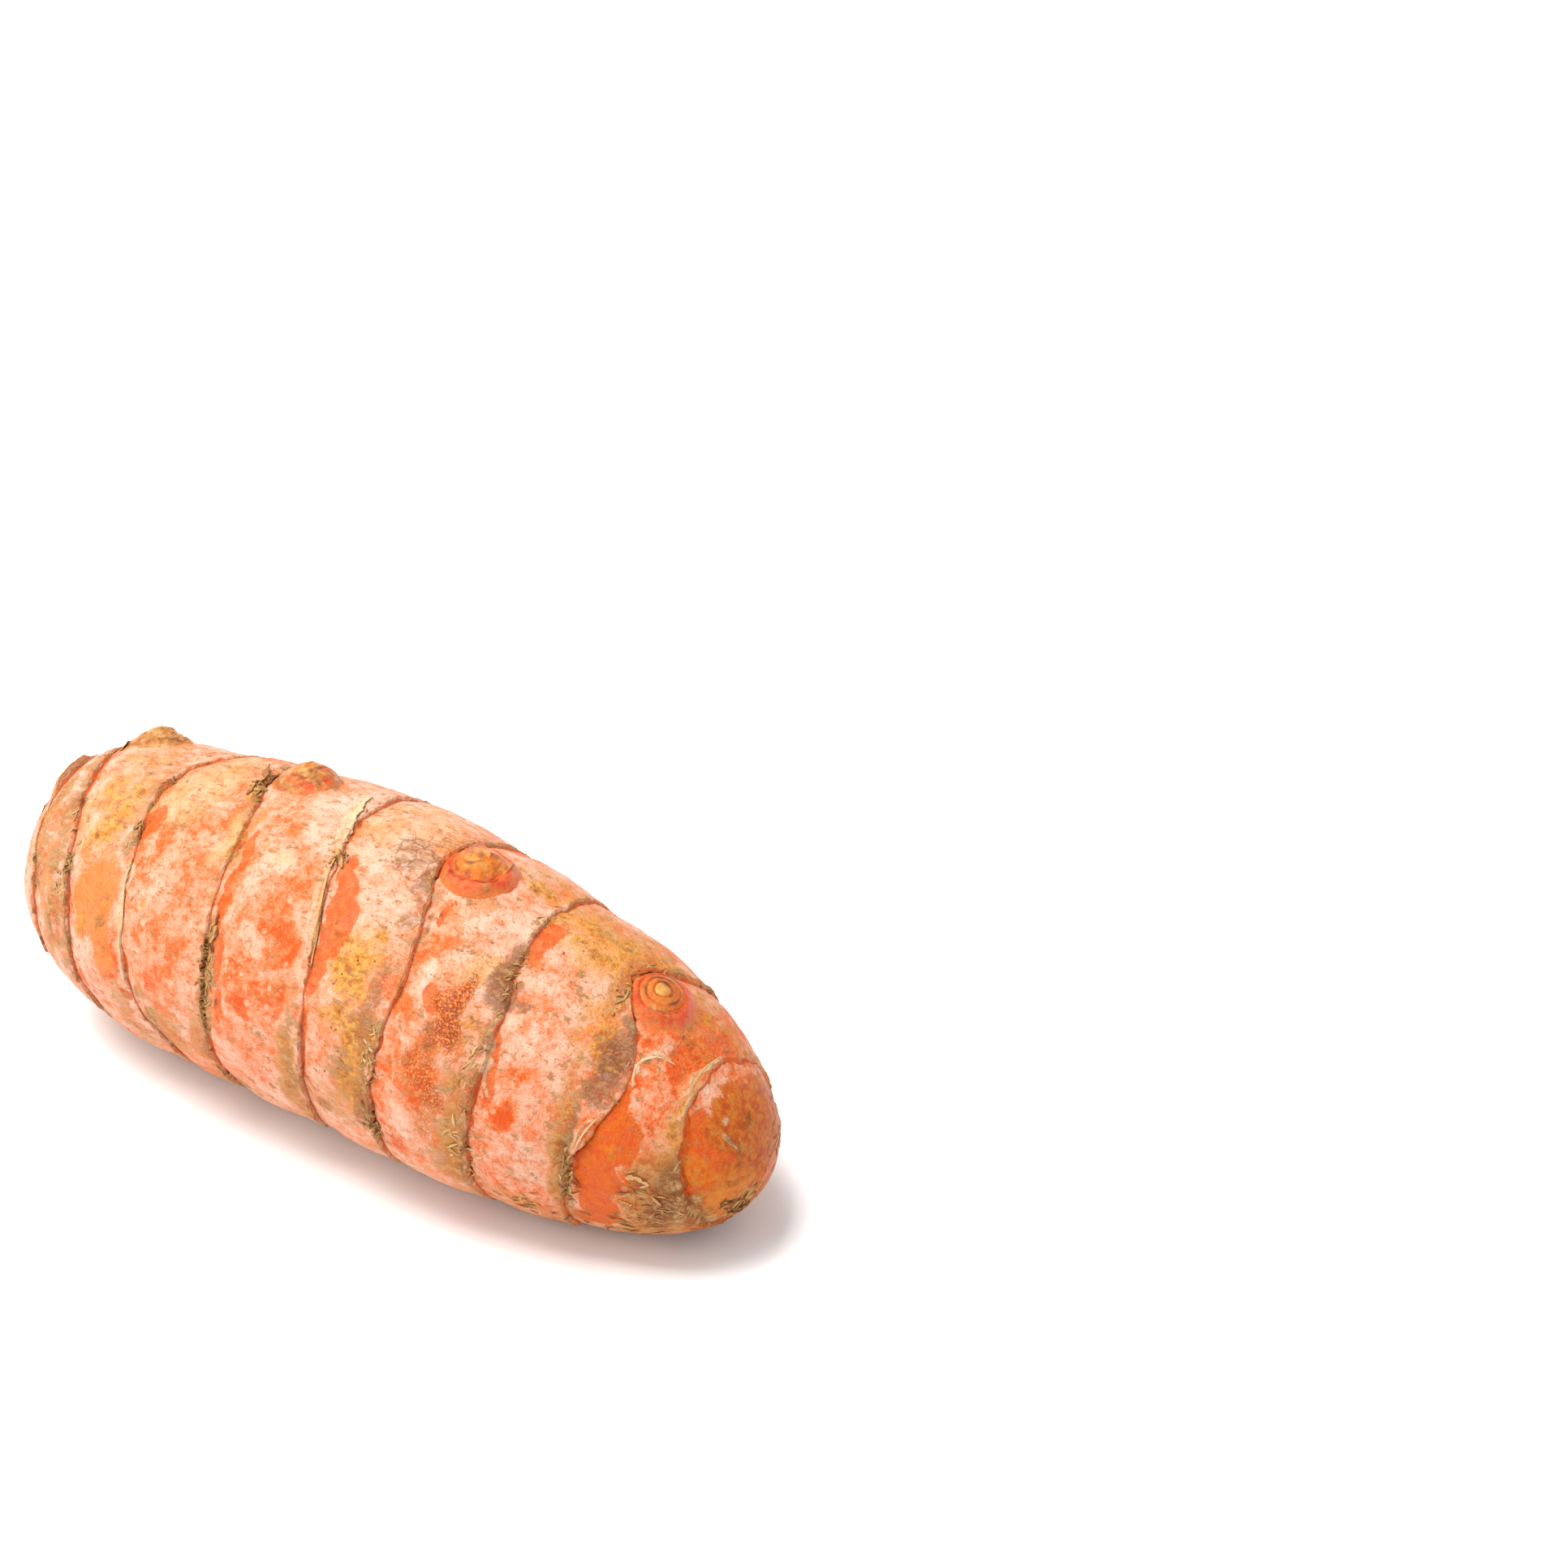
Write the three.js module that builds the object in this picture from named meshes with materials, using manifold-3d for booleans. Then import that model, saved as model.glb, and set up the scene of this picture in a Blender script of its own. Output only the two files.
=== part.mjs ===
// A fresh turmeric finger: one grown solid, lying on its flattened belly.
// Millimetres. +X runs along the finger to its growing tip, and +Z is up.
// The origin is on the ground, under the middle of the finger's bounding box.
// Angles round the finger are in degrees: 0 at the top, 90 at the front (-Y), 180 underneath.
import * as THREE from "three";
import { mergeVertices } from "three/addons/utils/BufferGeometryUtils.js";
import Module from "manifold-3d";

// Driving dimensions.
const fingerLength = 63;
const fingerGirth = 24.1; // diameter of the thickest internode
const internodeSwell = 0.3; // bulge of an internode halfway between its rings
const rimHeight = 0.28; // leaf-scar rim at the end of an internode
const rimLength = 0.9; // length over which the rim rises
const hollowDepth = 0.3; // hollow just past the rim
const hollowLength = 1.6; // length over which the hollow fills again
const bowSpan = 22; // degrees of a ring that step back around its bud
const capRadius = 4; // below this radius the details fade out towards the two ends

// Slow swells that keep the sections from being true circles: height, lobes round the finger,
// degrees of twist for each millimetre along it, and starting angle.
const swells = [
  { height: 0.2, lobes: 2, twist: 6, start: 0 },
  { height: 0.14, lobes: 3, twist: -9, start: 60 },
];

// Mesh density.
const stepsAround = 40;
const rowShares = [0, 0.04, 0.2, 0.4, 0.6, 0.8]; // rows from one ring to the next, closer at the rim

// Outline from the broken end to the tip: share of the length, share of half the girth.
const outlineShares = [
  [0, 0],
  [0.003, 0.27],
  [0.016, 0.515],
  [0.05, 0.705],
  [0.133, 0.865],
  [0.237, 0.94],
  [0.37, 0.995],
  [0.5, 1],
  [0.625, 0.975],
  [0.75, 0.89],
  [0.848, 0.77],
  [0.927, 0.58],
  [0.979, 0.325],
  [1, 0],
];

// The line through the middle of the sections, at even steps along the finger: sideways, height.
const spinePoints = [
  [0, 11.2],
  [0.1, 10.5],
  [0.2, 11.25],
  [0.1, 11.5],
  [-0.4, 11.0],
  [0.5, 9.25],
  [1, 7.4],
];

// Leaf-scar rings from the broken end to the tip: the place along the finger at every 45 degrees from the top.
// A bud sits past its ring, in one of two rows on opposite sides, and the ring bows back around it.
const rings = [
  { crossings: [-29.8, -28.9, -27.2, -27.3, -28.4, -29.2, -29.7, -30.1] },
  {
    crossings: [-27.4, -24.8, -22.6, -21.6, -22.8, -24.8, -26.8, -28.4],
    bud: { angle: -29, past: 2.6, radius: 2.4, height: 1.1, bow: 0.6 },
  },
  {
    crossings: [-20.2, -18.4, -16.4, -13.6, -14.2, -16.0, -17.2, -17.2],
    bud: { angle: 204, past: 2.2, radius: 2.3, height: 0.8, bow: 1.0 },
  },
  {
    crossings: [-11.3, -9.8, -8.6, -8.8, -9.8, -11.2, -12.4, -12.8],
    bud: { angle: -13, past: 2.8, radius: 2.7, height: 1.0, bow: 1.4 },
  },
  {
    crossings: [-3.4, -0.6, 0.2, -0.8, -2.0, -2.8, -3.4, -4.2],
    bud: { angle: 208, past: 2.6, radius: 2.5, height: 0.8, bow: 1.0 },
  },
  {
    crossings: [5.6, 7.2, 6.6, 6.6, 6.0, 5.2, 4.8, 4.9],
    bud: { angle: -10, past: 2.8, radius: 2.9, height: 1.0, bow: 1.4 },
  },
  {
    crossings: [13.3, 14.8, 14.2, 13.8, 13.4, 13.4, 13.2, 12.8],
    bud: { angle: 201, past: 2.4, radius: 2.3, height: 0.8, bow: 1.0 },
  },
  {
    crossings: [22.9, 23.7, 21.3, 20.2, 20.6, 21.4, 21.9, 22.2],
    bud: { angle: -8, past: 2.4, radius: 2.6, height: 0.8, bow: 2.8 },
  },
  { crossings: [27.5, 28.1, 28.6, 29.2, 29.0, 28.4, 27.9, 27.5] },
].map((ring) => ({ ...ring, curve: closedCurve(ring.crossings) }));

const halfLength = fingerLength / 2;
const halfGirth = fingerGirth / 2;
const radians = THREE.MathUtils.degToRad;
const cosine = (angle) => Math.cos(radians(angle));
const sine = (angle) => Math.sin(radians(angle));

const outline = new THREE.SplineCurve(
  outlineShares.map(([along, out]) => new THREE.Vector2(along * fingerLength - halfLength, out * halfGirth)),
);
const spine = new THREE.SplineCurve(spinePoints.map(([sideways, height]) => new THREE.Vector2(sideways, height)));

// Where on the outline, from 0 to 1, the finger has come as far as x. The outline never turns back in x.
function outlineShareAt(x) {
  let low = 0;
  let high = 1;
  while (high - low > 1e-6) {
    const middle = (low + high) / 2;
    if (outline.getPoint(middle).x < x) low = middle;
    else high = middle;
  }
  return low;
}

// The turn from one angle to another, from -180 to 180 degrees.
function turn(from, to) {
  return THREE.MathUtils.euclideanModulo(to - from + 180, 360) - 180;
}

// A smooth closed curve whose x passes through the values at even steps of one turn.
function closedCurve(values) {
  return new THREE.CatmullRomCurve3(values.map((value) => new THREE.Vector3(value, 0, 0)), true, "catmullrom");
}

// How far along the finger a ring crosses this angle.
function ringAlong({ curve, bud }, angle) {
  const bowing = bud ? bud.bow * Math.exp(-((turn(bud.angle, angle) / bowSpan) ** 2)) : 0;
  return curve.getPoint(THREE.MathUtils.euclideanModulo(angle, 360) / 360).x - bowing;
}

// Each bud with its own place along the finger and the radius of the finger there.
const buds = rings
  .filter((ring) => ring.bud)
  .map((ring) => {
    const along = ringAlong(ring, ring.bud.angle) + ring.bud.past;
    return { ...ring.bud, along, out: outline.getPoint(outlineShareAt(along)).y };
  });

// The rim and the hollow of one ring, at a distance past it along the finger.
function ledge(past) {
  return past <= 0 ? rimHeight * Math.exp(past / rimLength) : -hollowDepth * Math.exp(-past / hollowLength);
}

// A bud's low round mound, which is full height at its middle and level with the skin at its edge.
function mound(bud, x, angle) {
  const aside = radians(turn(bud.angle, angle)) * bud.out;
  const nearness = Math.max(0, 1 - ((x - bud.along) ** 2 + aside ** 2) / bud.radius ** 2);
  return bud.height * nearness ** 1.5;
}

function swelling({ height, lobes, twist, start }, x, angle) {
  return height * sine(lobes * angle + twist * x + start);
}

// One point of the skin, a share of the way from one ring, or the broken end, to the next ring, or the tip.
function skinPoint(segment, share, angle) {
  const crossings = rings.map((ring) => ringAlong(ring, angle));
  const from = segment > 0 ? outlineShareAt(crossings[segment - 1]) : 0;
  const to = segment < rings.length ? outlineShareAt(crossings[segment]) : 1;
  const base = outline.getPoint(from + (to - from) * share);
  const relief =
    internodeSwell * Math.sin(Math.PI * share) +
    crossings.reduce((sum, crossing) => sum + ledge(base.x - crossing), 0) +
    buds.reduce((sum, bud) => sum + mound(bud, base.x, angle), 0) +
    swells.reduce((sum, swell) => sum + swelling(swell, base.x, angle), 0);
  const out = base.y + relief * Math.min(1, base.y / capRadius);
  const middle = spine.getPoint((base.x + halfLength) / fingerLength);
  return [base.x, middle.x - out * sine(angle), middle.y + out * cosine(angle)];
}

// The closed skin: a pole at each end, and between them rows of points that follow the rings.
function fingerGeometry() {
  const rows = [];
  for (let segment = 0; segment <= rings.length; segment++) {
    for (const share of rowShares) {
      if (segment > 0 || share > 0) rows.push([segment, share]);
    }
  }
  const points = [skinPoint(0, 0, 0)];
  for (const [segment, share] of rows) {
    for (let step = 0; step < stepsAround; step++) {
      points.push(skinPoint(segment, share, (step * 360) / stepsAround));
    }
  }
  points.push(skinPoint(rings.length, 1, 0));

  const at = (row, step) => 1 + row * stepsAround + (step % stepsAround);
  const tip = points.length - 1;
  const lastRow = rows.length - 1;
  const faces = [];
  for (let step = 0; step < stepsAround; step++) {
    faces.push(0, at(0, step + 1), at(0, step));
    faces.push(tip, at(lastRow, step), at(lastRow, step + 1));
    for (let row = 0; row < lastRow; row++) {
      faces.push(at(row, step), at(row + 1, step + 1), at(row + 1, step));
      faces.push(at(row, step), at(row, step + 1), at(row + 1, step + 1));
    }
  }
  return new THREE.BufferGeometry()
    .setAttribute("position", new THREE.Float32BufferAttribute(points.flat(), 3))
    .setIndex(faces);
}

const wasm = await Module();
wasm.setup();

// A closed geometry as a solid that can be cut.
function solidOf(geometry) {
  const bare = geometry.clone().deleteAttribute("normal").deleteAttribute("uv");
  const merged = mergeVertices(bare);
  return new wasm.Manifold(
    new wasm.Mesh({
      numProp: 3,
      vertProperties: merged.getAttribute("position").array,
      triVerts: new Uint32Array(merged.index.array),
    }),
  );
}

// A cut solid as a geometry again.
function geometryOf(solid) {
  const mesh = solid.getMesh();
  const geometry = new THREE.BufferGeometry()
    .setAttribute("position", new THREE.BufferAttribute(mesh.vertProperties, 3))
    .setIndex(new THREE.BufferAttribute(mesh.triVerts, 1));
  geometry.computeVertexNormals();
  return geometry;
}

// The belly is flat where the finger lies on the ground: what would reach below it is taken off.
const groundDepth = fingerGirth;
const ground = new THREE.BoxGeometry(2 * fingerLength, 2 * fingerLength, groundDepth);
ground.translate(0, 0, -groundDepth / 2);
const finger = geometryOf(solidOf(fingerGeometry()).subtract(solidOf(ground)));
finger.computeBoundingBox();
const boxMiddle = finger.boundingBox.getCenter(new THREE.Vector3());

const skin = new THREE.MeshStandardMaterial({ color: 0xe39a70, roughness: 0.55, metalness: 0 });
const rhizome = new THREE.Mesh(finger, skin);
rhizome.name = "rhizome";
rhizome.position.set(-boxMiddle.x, -boxMiddle.y, 0);

const turmeric = new THREE.Group();
turmeric.add(rhizome);
export default turmeric;
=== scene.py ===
# Turmeric finger lying on its belly: mottled skin, leaf-scar rings, buds, dried sheath and fibres.
# Lengths are in millimetres until a mesh is filled, and mm turns them into scene units.
# Angles round the finger are in degrees: 0 at the top, 90 at the front, 180 underneath, 270 behind.
import math

import bpy
import numpy as np
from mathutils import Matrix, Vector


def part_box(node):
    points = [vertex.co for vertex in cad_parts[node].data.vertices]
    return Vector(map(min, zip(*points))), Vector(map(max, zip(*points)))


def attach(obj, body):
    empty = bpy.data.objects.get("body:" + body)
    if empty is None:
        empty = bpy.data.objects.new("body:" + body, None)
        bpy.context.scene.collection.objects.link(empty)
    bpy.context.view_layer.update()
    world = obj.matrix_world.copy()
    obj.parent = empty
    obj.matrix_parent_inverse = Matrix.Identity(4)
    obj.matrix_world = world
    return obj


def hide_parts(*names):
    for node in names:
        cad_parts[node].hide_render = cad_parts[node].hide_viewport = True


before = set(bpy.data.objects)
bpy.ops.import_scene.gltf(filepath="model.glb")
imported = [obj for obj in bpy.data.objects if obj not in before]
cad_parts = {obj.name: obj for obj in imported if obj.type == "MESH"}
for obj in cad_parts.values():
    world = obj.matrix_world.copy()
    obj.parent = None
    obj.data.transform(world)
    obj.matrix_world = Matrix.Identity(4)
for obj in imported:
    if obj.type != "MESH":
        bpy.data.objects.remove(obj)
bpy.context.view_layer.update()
mm = 0.001
boxLow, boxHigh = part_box("rhizome")
fingerLength = (boxHigh.x - boxLow.x) / mm
print("frame loaded, finger is", round(fingerLength, 1), "mm long")


# Smooth curve through evenly spaced points: each stretch is the cubic that meets its two ends with a slope
# of half the step between their neighbours. A closed curve runs on from its last point to its first.
def smoothThrough(points, share, closed=False):
    points = np.asarray(points, float)
    count = len(points)
    place = np.asarray(share, float) * (count if closed else count - 1)
    first = np.floor(place).astype(int)
    if not closed:
        first = np.clip(first, 0, count - 2)
    part = (place - first)[(...,) + (None,) * (points.ndim - 1)]

    def at(step):
        index = (first + step) % count if closed else np.clip(first + step, 0, count - 1)
        return points[index]

    slopeIn = (at(1) - at(-1)) / 2
    slopeOut = (at(2) - at(0)) / 2
    cubic = 2 * at(0) - 2 * at(1) + slopeIn + slopeOut
    square = 3 * at(1) - 3 * at(0) - 2 * slopeIn - slopeOut
    return cubic * part**3 + square * part**2 + slopeIn * part + at(0)


# Gradient noise: every corner of a cubic lattice gets a slope from a shuffled table, and the eight slopes
# round a point are blended with a fifth-power fade. It runs from about -1 to 1.
def noise(points, size, seed):
    rng = np.random.default_rng(seed)
    shuffled = rng.permutation(256)
    slopes = rng.normal(size=(256, 3))
    slopes /= np.linalg.norm(slopes, axis=1, keepdims=True)
    place = points / size
    low = np.floor(place).astype(int)
    part = place - low
    fade = part**3 * (part * (part * 6 - 15) + 10)
    total = np.zeros(points.shape[:-1])
    for corner in np.ndindex(2, 2, 2):
        key = (low + corner) & 255
        key = shuffled[(shuffled[(shuffled[key[..., 0]] + key[..., 1]) & 255] + key[..., 2]) & 255]
        weight = np.where(corner, fade, 1 - fade).prod(-1)
        total += weight * (slopes[key] * (part - corner)).sum(-1)
    return total * 1.6


# Layered noise: each layer is half as large and half as strong as the one before.
def clouds(points, size, seed, layers=3):
    return sum(noise(points, size / 2**k, seed + k) / 2**k for k in range(layers))


# Soft step from 0 at low to 1 at high.
def soften(value, low, high):
    share = np.clip((value - low) / (high - low), 0, 1)
    return share * share * (3 - 2 * share)


# The turn from one angle to another, from -180 to 180 degrees.
def turnFrom(start, angle):
    return (angle - start + 180) % 360 - 180


finger = {
    "girth": 24.1,  # across the thickest internode
    "outline": [  # broken end to tip: share of the length, share of half the girth
        (0, 0), (0.003, 0.27), (0.016, 0.515), (0.05, 0.705), (0.133, 0.865), (0.237, 0.94), (0.37, 0.995),
        (0.5, 1), (0.625, 0.975), (0.75, 0.89), (0.848, 0.77), (0.927, 0.57), (0.979, 0.31), (1, 0),
    ],
    "spine": [  # middle of the sections at even steps: sideways, height
        (0, 11.2), (0.1, 10.5), (0.2, 11.25), (0.1, 11.5), (-0.4, 11.0), (0.5, 9.2), (1, 7.1),
    ],
    "capRadius": 4.0,  # details fade out below this radius, towards the two ends
    "bowSpan": 22.0,  # degrees of a ring that step back around its bud
}

# Leaf-scar rings from the broken end to the tip. Each list has a value for every 45 degrees from the top:
# the place along the finger, how much dried sheath is left, and the width of the bare band past the ring.
rings = [
    {
        "along": [-29.8, -28.9, -27.2, -27.3, -28.4, -29.2, -29.7, -30.1],
        "sheath": [0.35, 0.3, 0.4, 0.4, 0.4, 0.4, 0.4, 0.4],
        "bare": [0.1, 0.1, 0.1, 0.2, 0.2, 0.2, 0.1, 0.1],
    },
    {
        "along": [-27.4, -24.8, -22.6, -21.6, -22.8, -24.8, -26.8, -28.4],
        "sheath": [0.45, 0.5, 0.5, 0.5, 0.5, 0.5, 0.5, 0.5],
        "bare": [0.5, 0.35, 0.3, 0.5, 0.3, 0.3, 0.6, 0.9],
    },
    {
        "along": [-20.2, -18.4, -16.4, -13.6, -14.2, -16.0, -17.2, -17.2],
        "sheath": [0.5, 0.1, 0.12, 0.5, 0.5, 0.5, 0.4, 0.4],
        "bare": [0.2, 0.7, 0.2, 0.2, 0.4, 0.6, 0.3, 0.2],
    },
    {
        "along": [-11.3, -9.8, -8.6, -8.8, -9.8, -11.2, -12.4, -12.8],
        "sheath": [0.5, 0.25, 0.5, 0.5, 0.5, 0.5, 0.5, 0.5],
        "bare": [0.4, 0.9, 0.8, 0.3, 0.4, 0.8, 0.5, 0.3],
    },
    {
        "along": [-3.4, -0.6, 0.2, -0.8, -2.0, -2.8, -3.4, -4.2],
        "sheath": [0.2, 0.2, 0.35, 0.5, 0.5, 0.5, 0.4, 0.3],
        "bare": [0.4, 0.9, 0.35, 0.3, 0.4, 0.5, 0.7, 0.3],
    },
    {
        "along": [5.6, 7.2, 6.6, 6.6, 6.0, 5.2, 4.8, 4.9],
        "sheath": [0.5, 0.35, 0.45, 0.5, 0.5, 0.5, 0.5, 0.5],
        "bare": [0.3, 0.3, 0.3, 0.3, 0.5, 0.6, 0.4, 0.3],
    },
    {
        "along": [13.3, 14.8, 14.2, 13.8, 13.4, 13.4, 13.2, 12.8],
        "sheath": [0.3, 0.4, 0.4, 0.5, 0.5, 0.5, 0.5, 0.5],
        "bare": [0.7, 0.4, 0.3, 0.3, 0.5, 0.8, 0.5, 0.4],
    },
    {
        "along": [22.9, 23.7, 21.3, 20.2, 20.6, 21.4, 21.9, 22.2],
        "sheath": [0.5, 0.15, 0.4, 0.5, 0.5, 0.5, 0.5, 0.6],
        "bare": [0.3, 0.4, 0.4, 0.4, 0.7, 0.9, 0.6, 0.4],
    },
    {
        "along": [27.1, 27.5, 28.5, 28.9, 28.8, 28.4, 27.9, 27.5],
        "sheath": [0.2, 0.1, 0.3, 0.5, 0.5, 0.5, 0.4, 0.4],
        "bare": [0.4, 0.6, 0.5, 0.3, 0.5, 0.6, 0.5, 0.4],
    },
]

# Buds: the ring each one sits past, its angle, how far past the ring its middle is, its radius and height,
# how far the ring bows back around it, and how dry its scales are. The two rows are on opposite sides.
buds = [
    {"ring": 1, "angle": -29, "past": 2.6, "radius": 2.4, "height": 0.4, "bow": 0.6, "kind": "knob", "dry": 1.0},
    {"ring": 2, "angle": 204, "past": 2.2, "radius": 2.3, "height": 0.4, "bow": 1.0, "kind": "knob", "dry": 0.4},
    {"ring": 3, "angle": -16, "past": 2.8, "radius": 2.7, "height": 0.7, "bow": 1.4, "kind": "knob", "dry": 0.6},
    {"ring": 4, "angle": 208, "past": 2.6, "radius": 2.5, "height": 0.4, "bow": 1.0, "kind": "knob", "dry": 0.5},
    {"ring": 5, "angle": -8, "past": 2.8, "radius": 2.9, "height": 0.6, "bow": 1.4, "kind": "dome", "dry": 0.15},
    {"ring": 6, "angle": 201, "past": 2.4, "radius": 2.3, "height": 0.4, "bow": 1.0, "kind": "knob", "dry": 0.3},
    {"ring": 7, "angle": -8, "past": 2.4, "radius": 2.6, "height": 0.5, "bow": 2.8, "kind": "eye", "dry": 0.2},
]

outlineShare = np.linspace(0, 1, 4001)
outlineCurve = smoothThrough(finger["outline"], outlineShare)
outlineAlong = (outlineCurve[:, 0] - 0.5) * fingerLength
outlineOut = outlineCurve[:, 1] * finger["girth"] / 2


# Where on the outline, from 0 to 1, the finger has come this far along.
def outlineShareAt(along):
    return np.interp(along, outlineAlong, outlineShare)


# Place along the finger and radius, at a share of the outline.
def outlineAt(share):
    return np.interp(share, outlineShare, outlineAlong), np.interp(share, outlineShare, outlineOut)


# A point at a distance out from the spine: the section's middle, plus that distance turned by the angle.
def placeOut(along, angle, out):
    middle = smoothThrough(finger["spine"], np.clip(along / fingerLength + 0.5, 0, 1))
    turned = np.radians(angle)
    across = middle[..., 0] - out * np.sin(turned) - spineShift
    return np.stack([along, across, middle[..., 1] + out * np.cos(turned)], -1)


# The ring's value at an angle, from its eight values round the finger.
def ringValue(ring, key, angle):
    return smoothThrough(rings[ring][key], (np.asarray(angle) % 360) / 360, closed=True)


# How far along the finger a ring crosses an angle: its smooth curve, less the bow around its bud.
def ringAlong(ring, angle):
    along = ringValue(ring, "along", angle)
    for bud in buds:
        if bud["ring"] == ring:
            along = along - bud["bow"] * np.exp(-((turnFrom(bud["angle"], angle) / finger["bowSpan"]) ** 2))
    return along


for bud in buds:
    bud["along"] = float(ringAlong(bud["ring"], bud["angle"]) + bud["past"])
    bud["out"] = float(outlineAt(outlineShareAt(bud["along"]))[1])
spineShift = 0.14  # sideways, so that the finger's box is centred


# Distance across the skin from a bud's middle, as a share of its radius.
def budReach(bud, along, angle):
    aside = np.radians(turnFrom(bud["angle"], angle)) * bud["out"]
    return np.hypot(along - bud["along"], aside) / bud["radius"]


skinForm = {
    "rows": [24, 20, 38, 34, 44, 40, 42, 40, 32, 24],  # from one ring to the next
    "stepsAround": 290,
    "crowding": 0.7,  # how much closer the rows are at the rings
    "swell": [0.1, 0.2, 0.3, 0.3, 0.3, 0.3, 0.3, 0.25, 0.15, 0.0],  # bulge of each internode
    "rim": 0.2,  # height of a ring's rim
    "rimLength": 0.9,
    "hollow": 0.22,  # drop just past the rim
    "hollowLength": 1.4,
    "overhang": 0.03,  # how far the rim leans over the hollow
    "ragged": 0.22,  # unevenness of the rim's line
    "lumps": 0.2,
    "rimRough": 0.1,
    "dents": 0.07,
    "wrinkles": 0.04,
    "tipFrom": (27.8, 28.7),  # where the tip's own colour begins and is full
    "endFrom": (30.6, 31.2),  # the same for the broken face, measured the other way
    "coreRing": 2.9,  # radius of the pale ring in the broken face
    "tipFolds": [(29.0, 0.12), (29.9, 0.16), (30.7, 0.14)],  # low folds round the tip: place, height
}

# How far marks stand up from the skin or, for umber, bare and flesh, sink into it.
markHeight = {
    "felt": 0.09,
    "pale": 0.1,
    "grain": 0.12,
    "grainSunk": 0.1,
    "weathered": 0.05,  # tan and bruise
    "umber": 0.1,
    "bare": 0.06,
    "flesh": 0.1,
    "end": 0.25,
    "lip": 0.9,
}

# Tone of each internode's skin before its patches, from cream at 0 to coral at 1.
innerTone = [0.3, 0.42, 0.42, 0.54, 0.42, 0.44, 0.46, 0.54, 0.58, 0.6]

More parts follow.
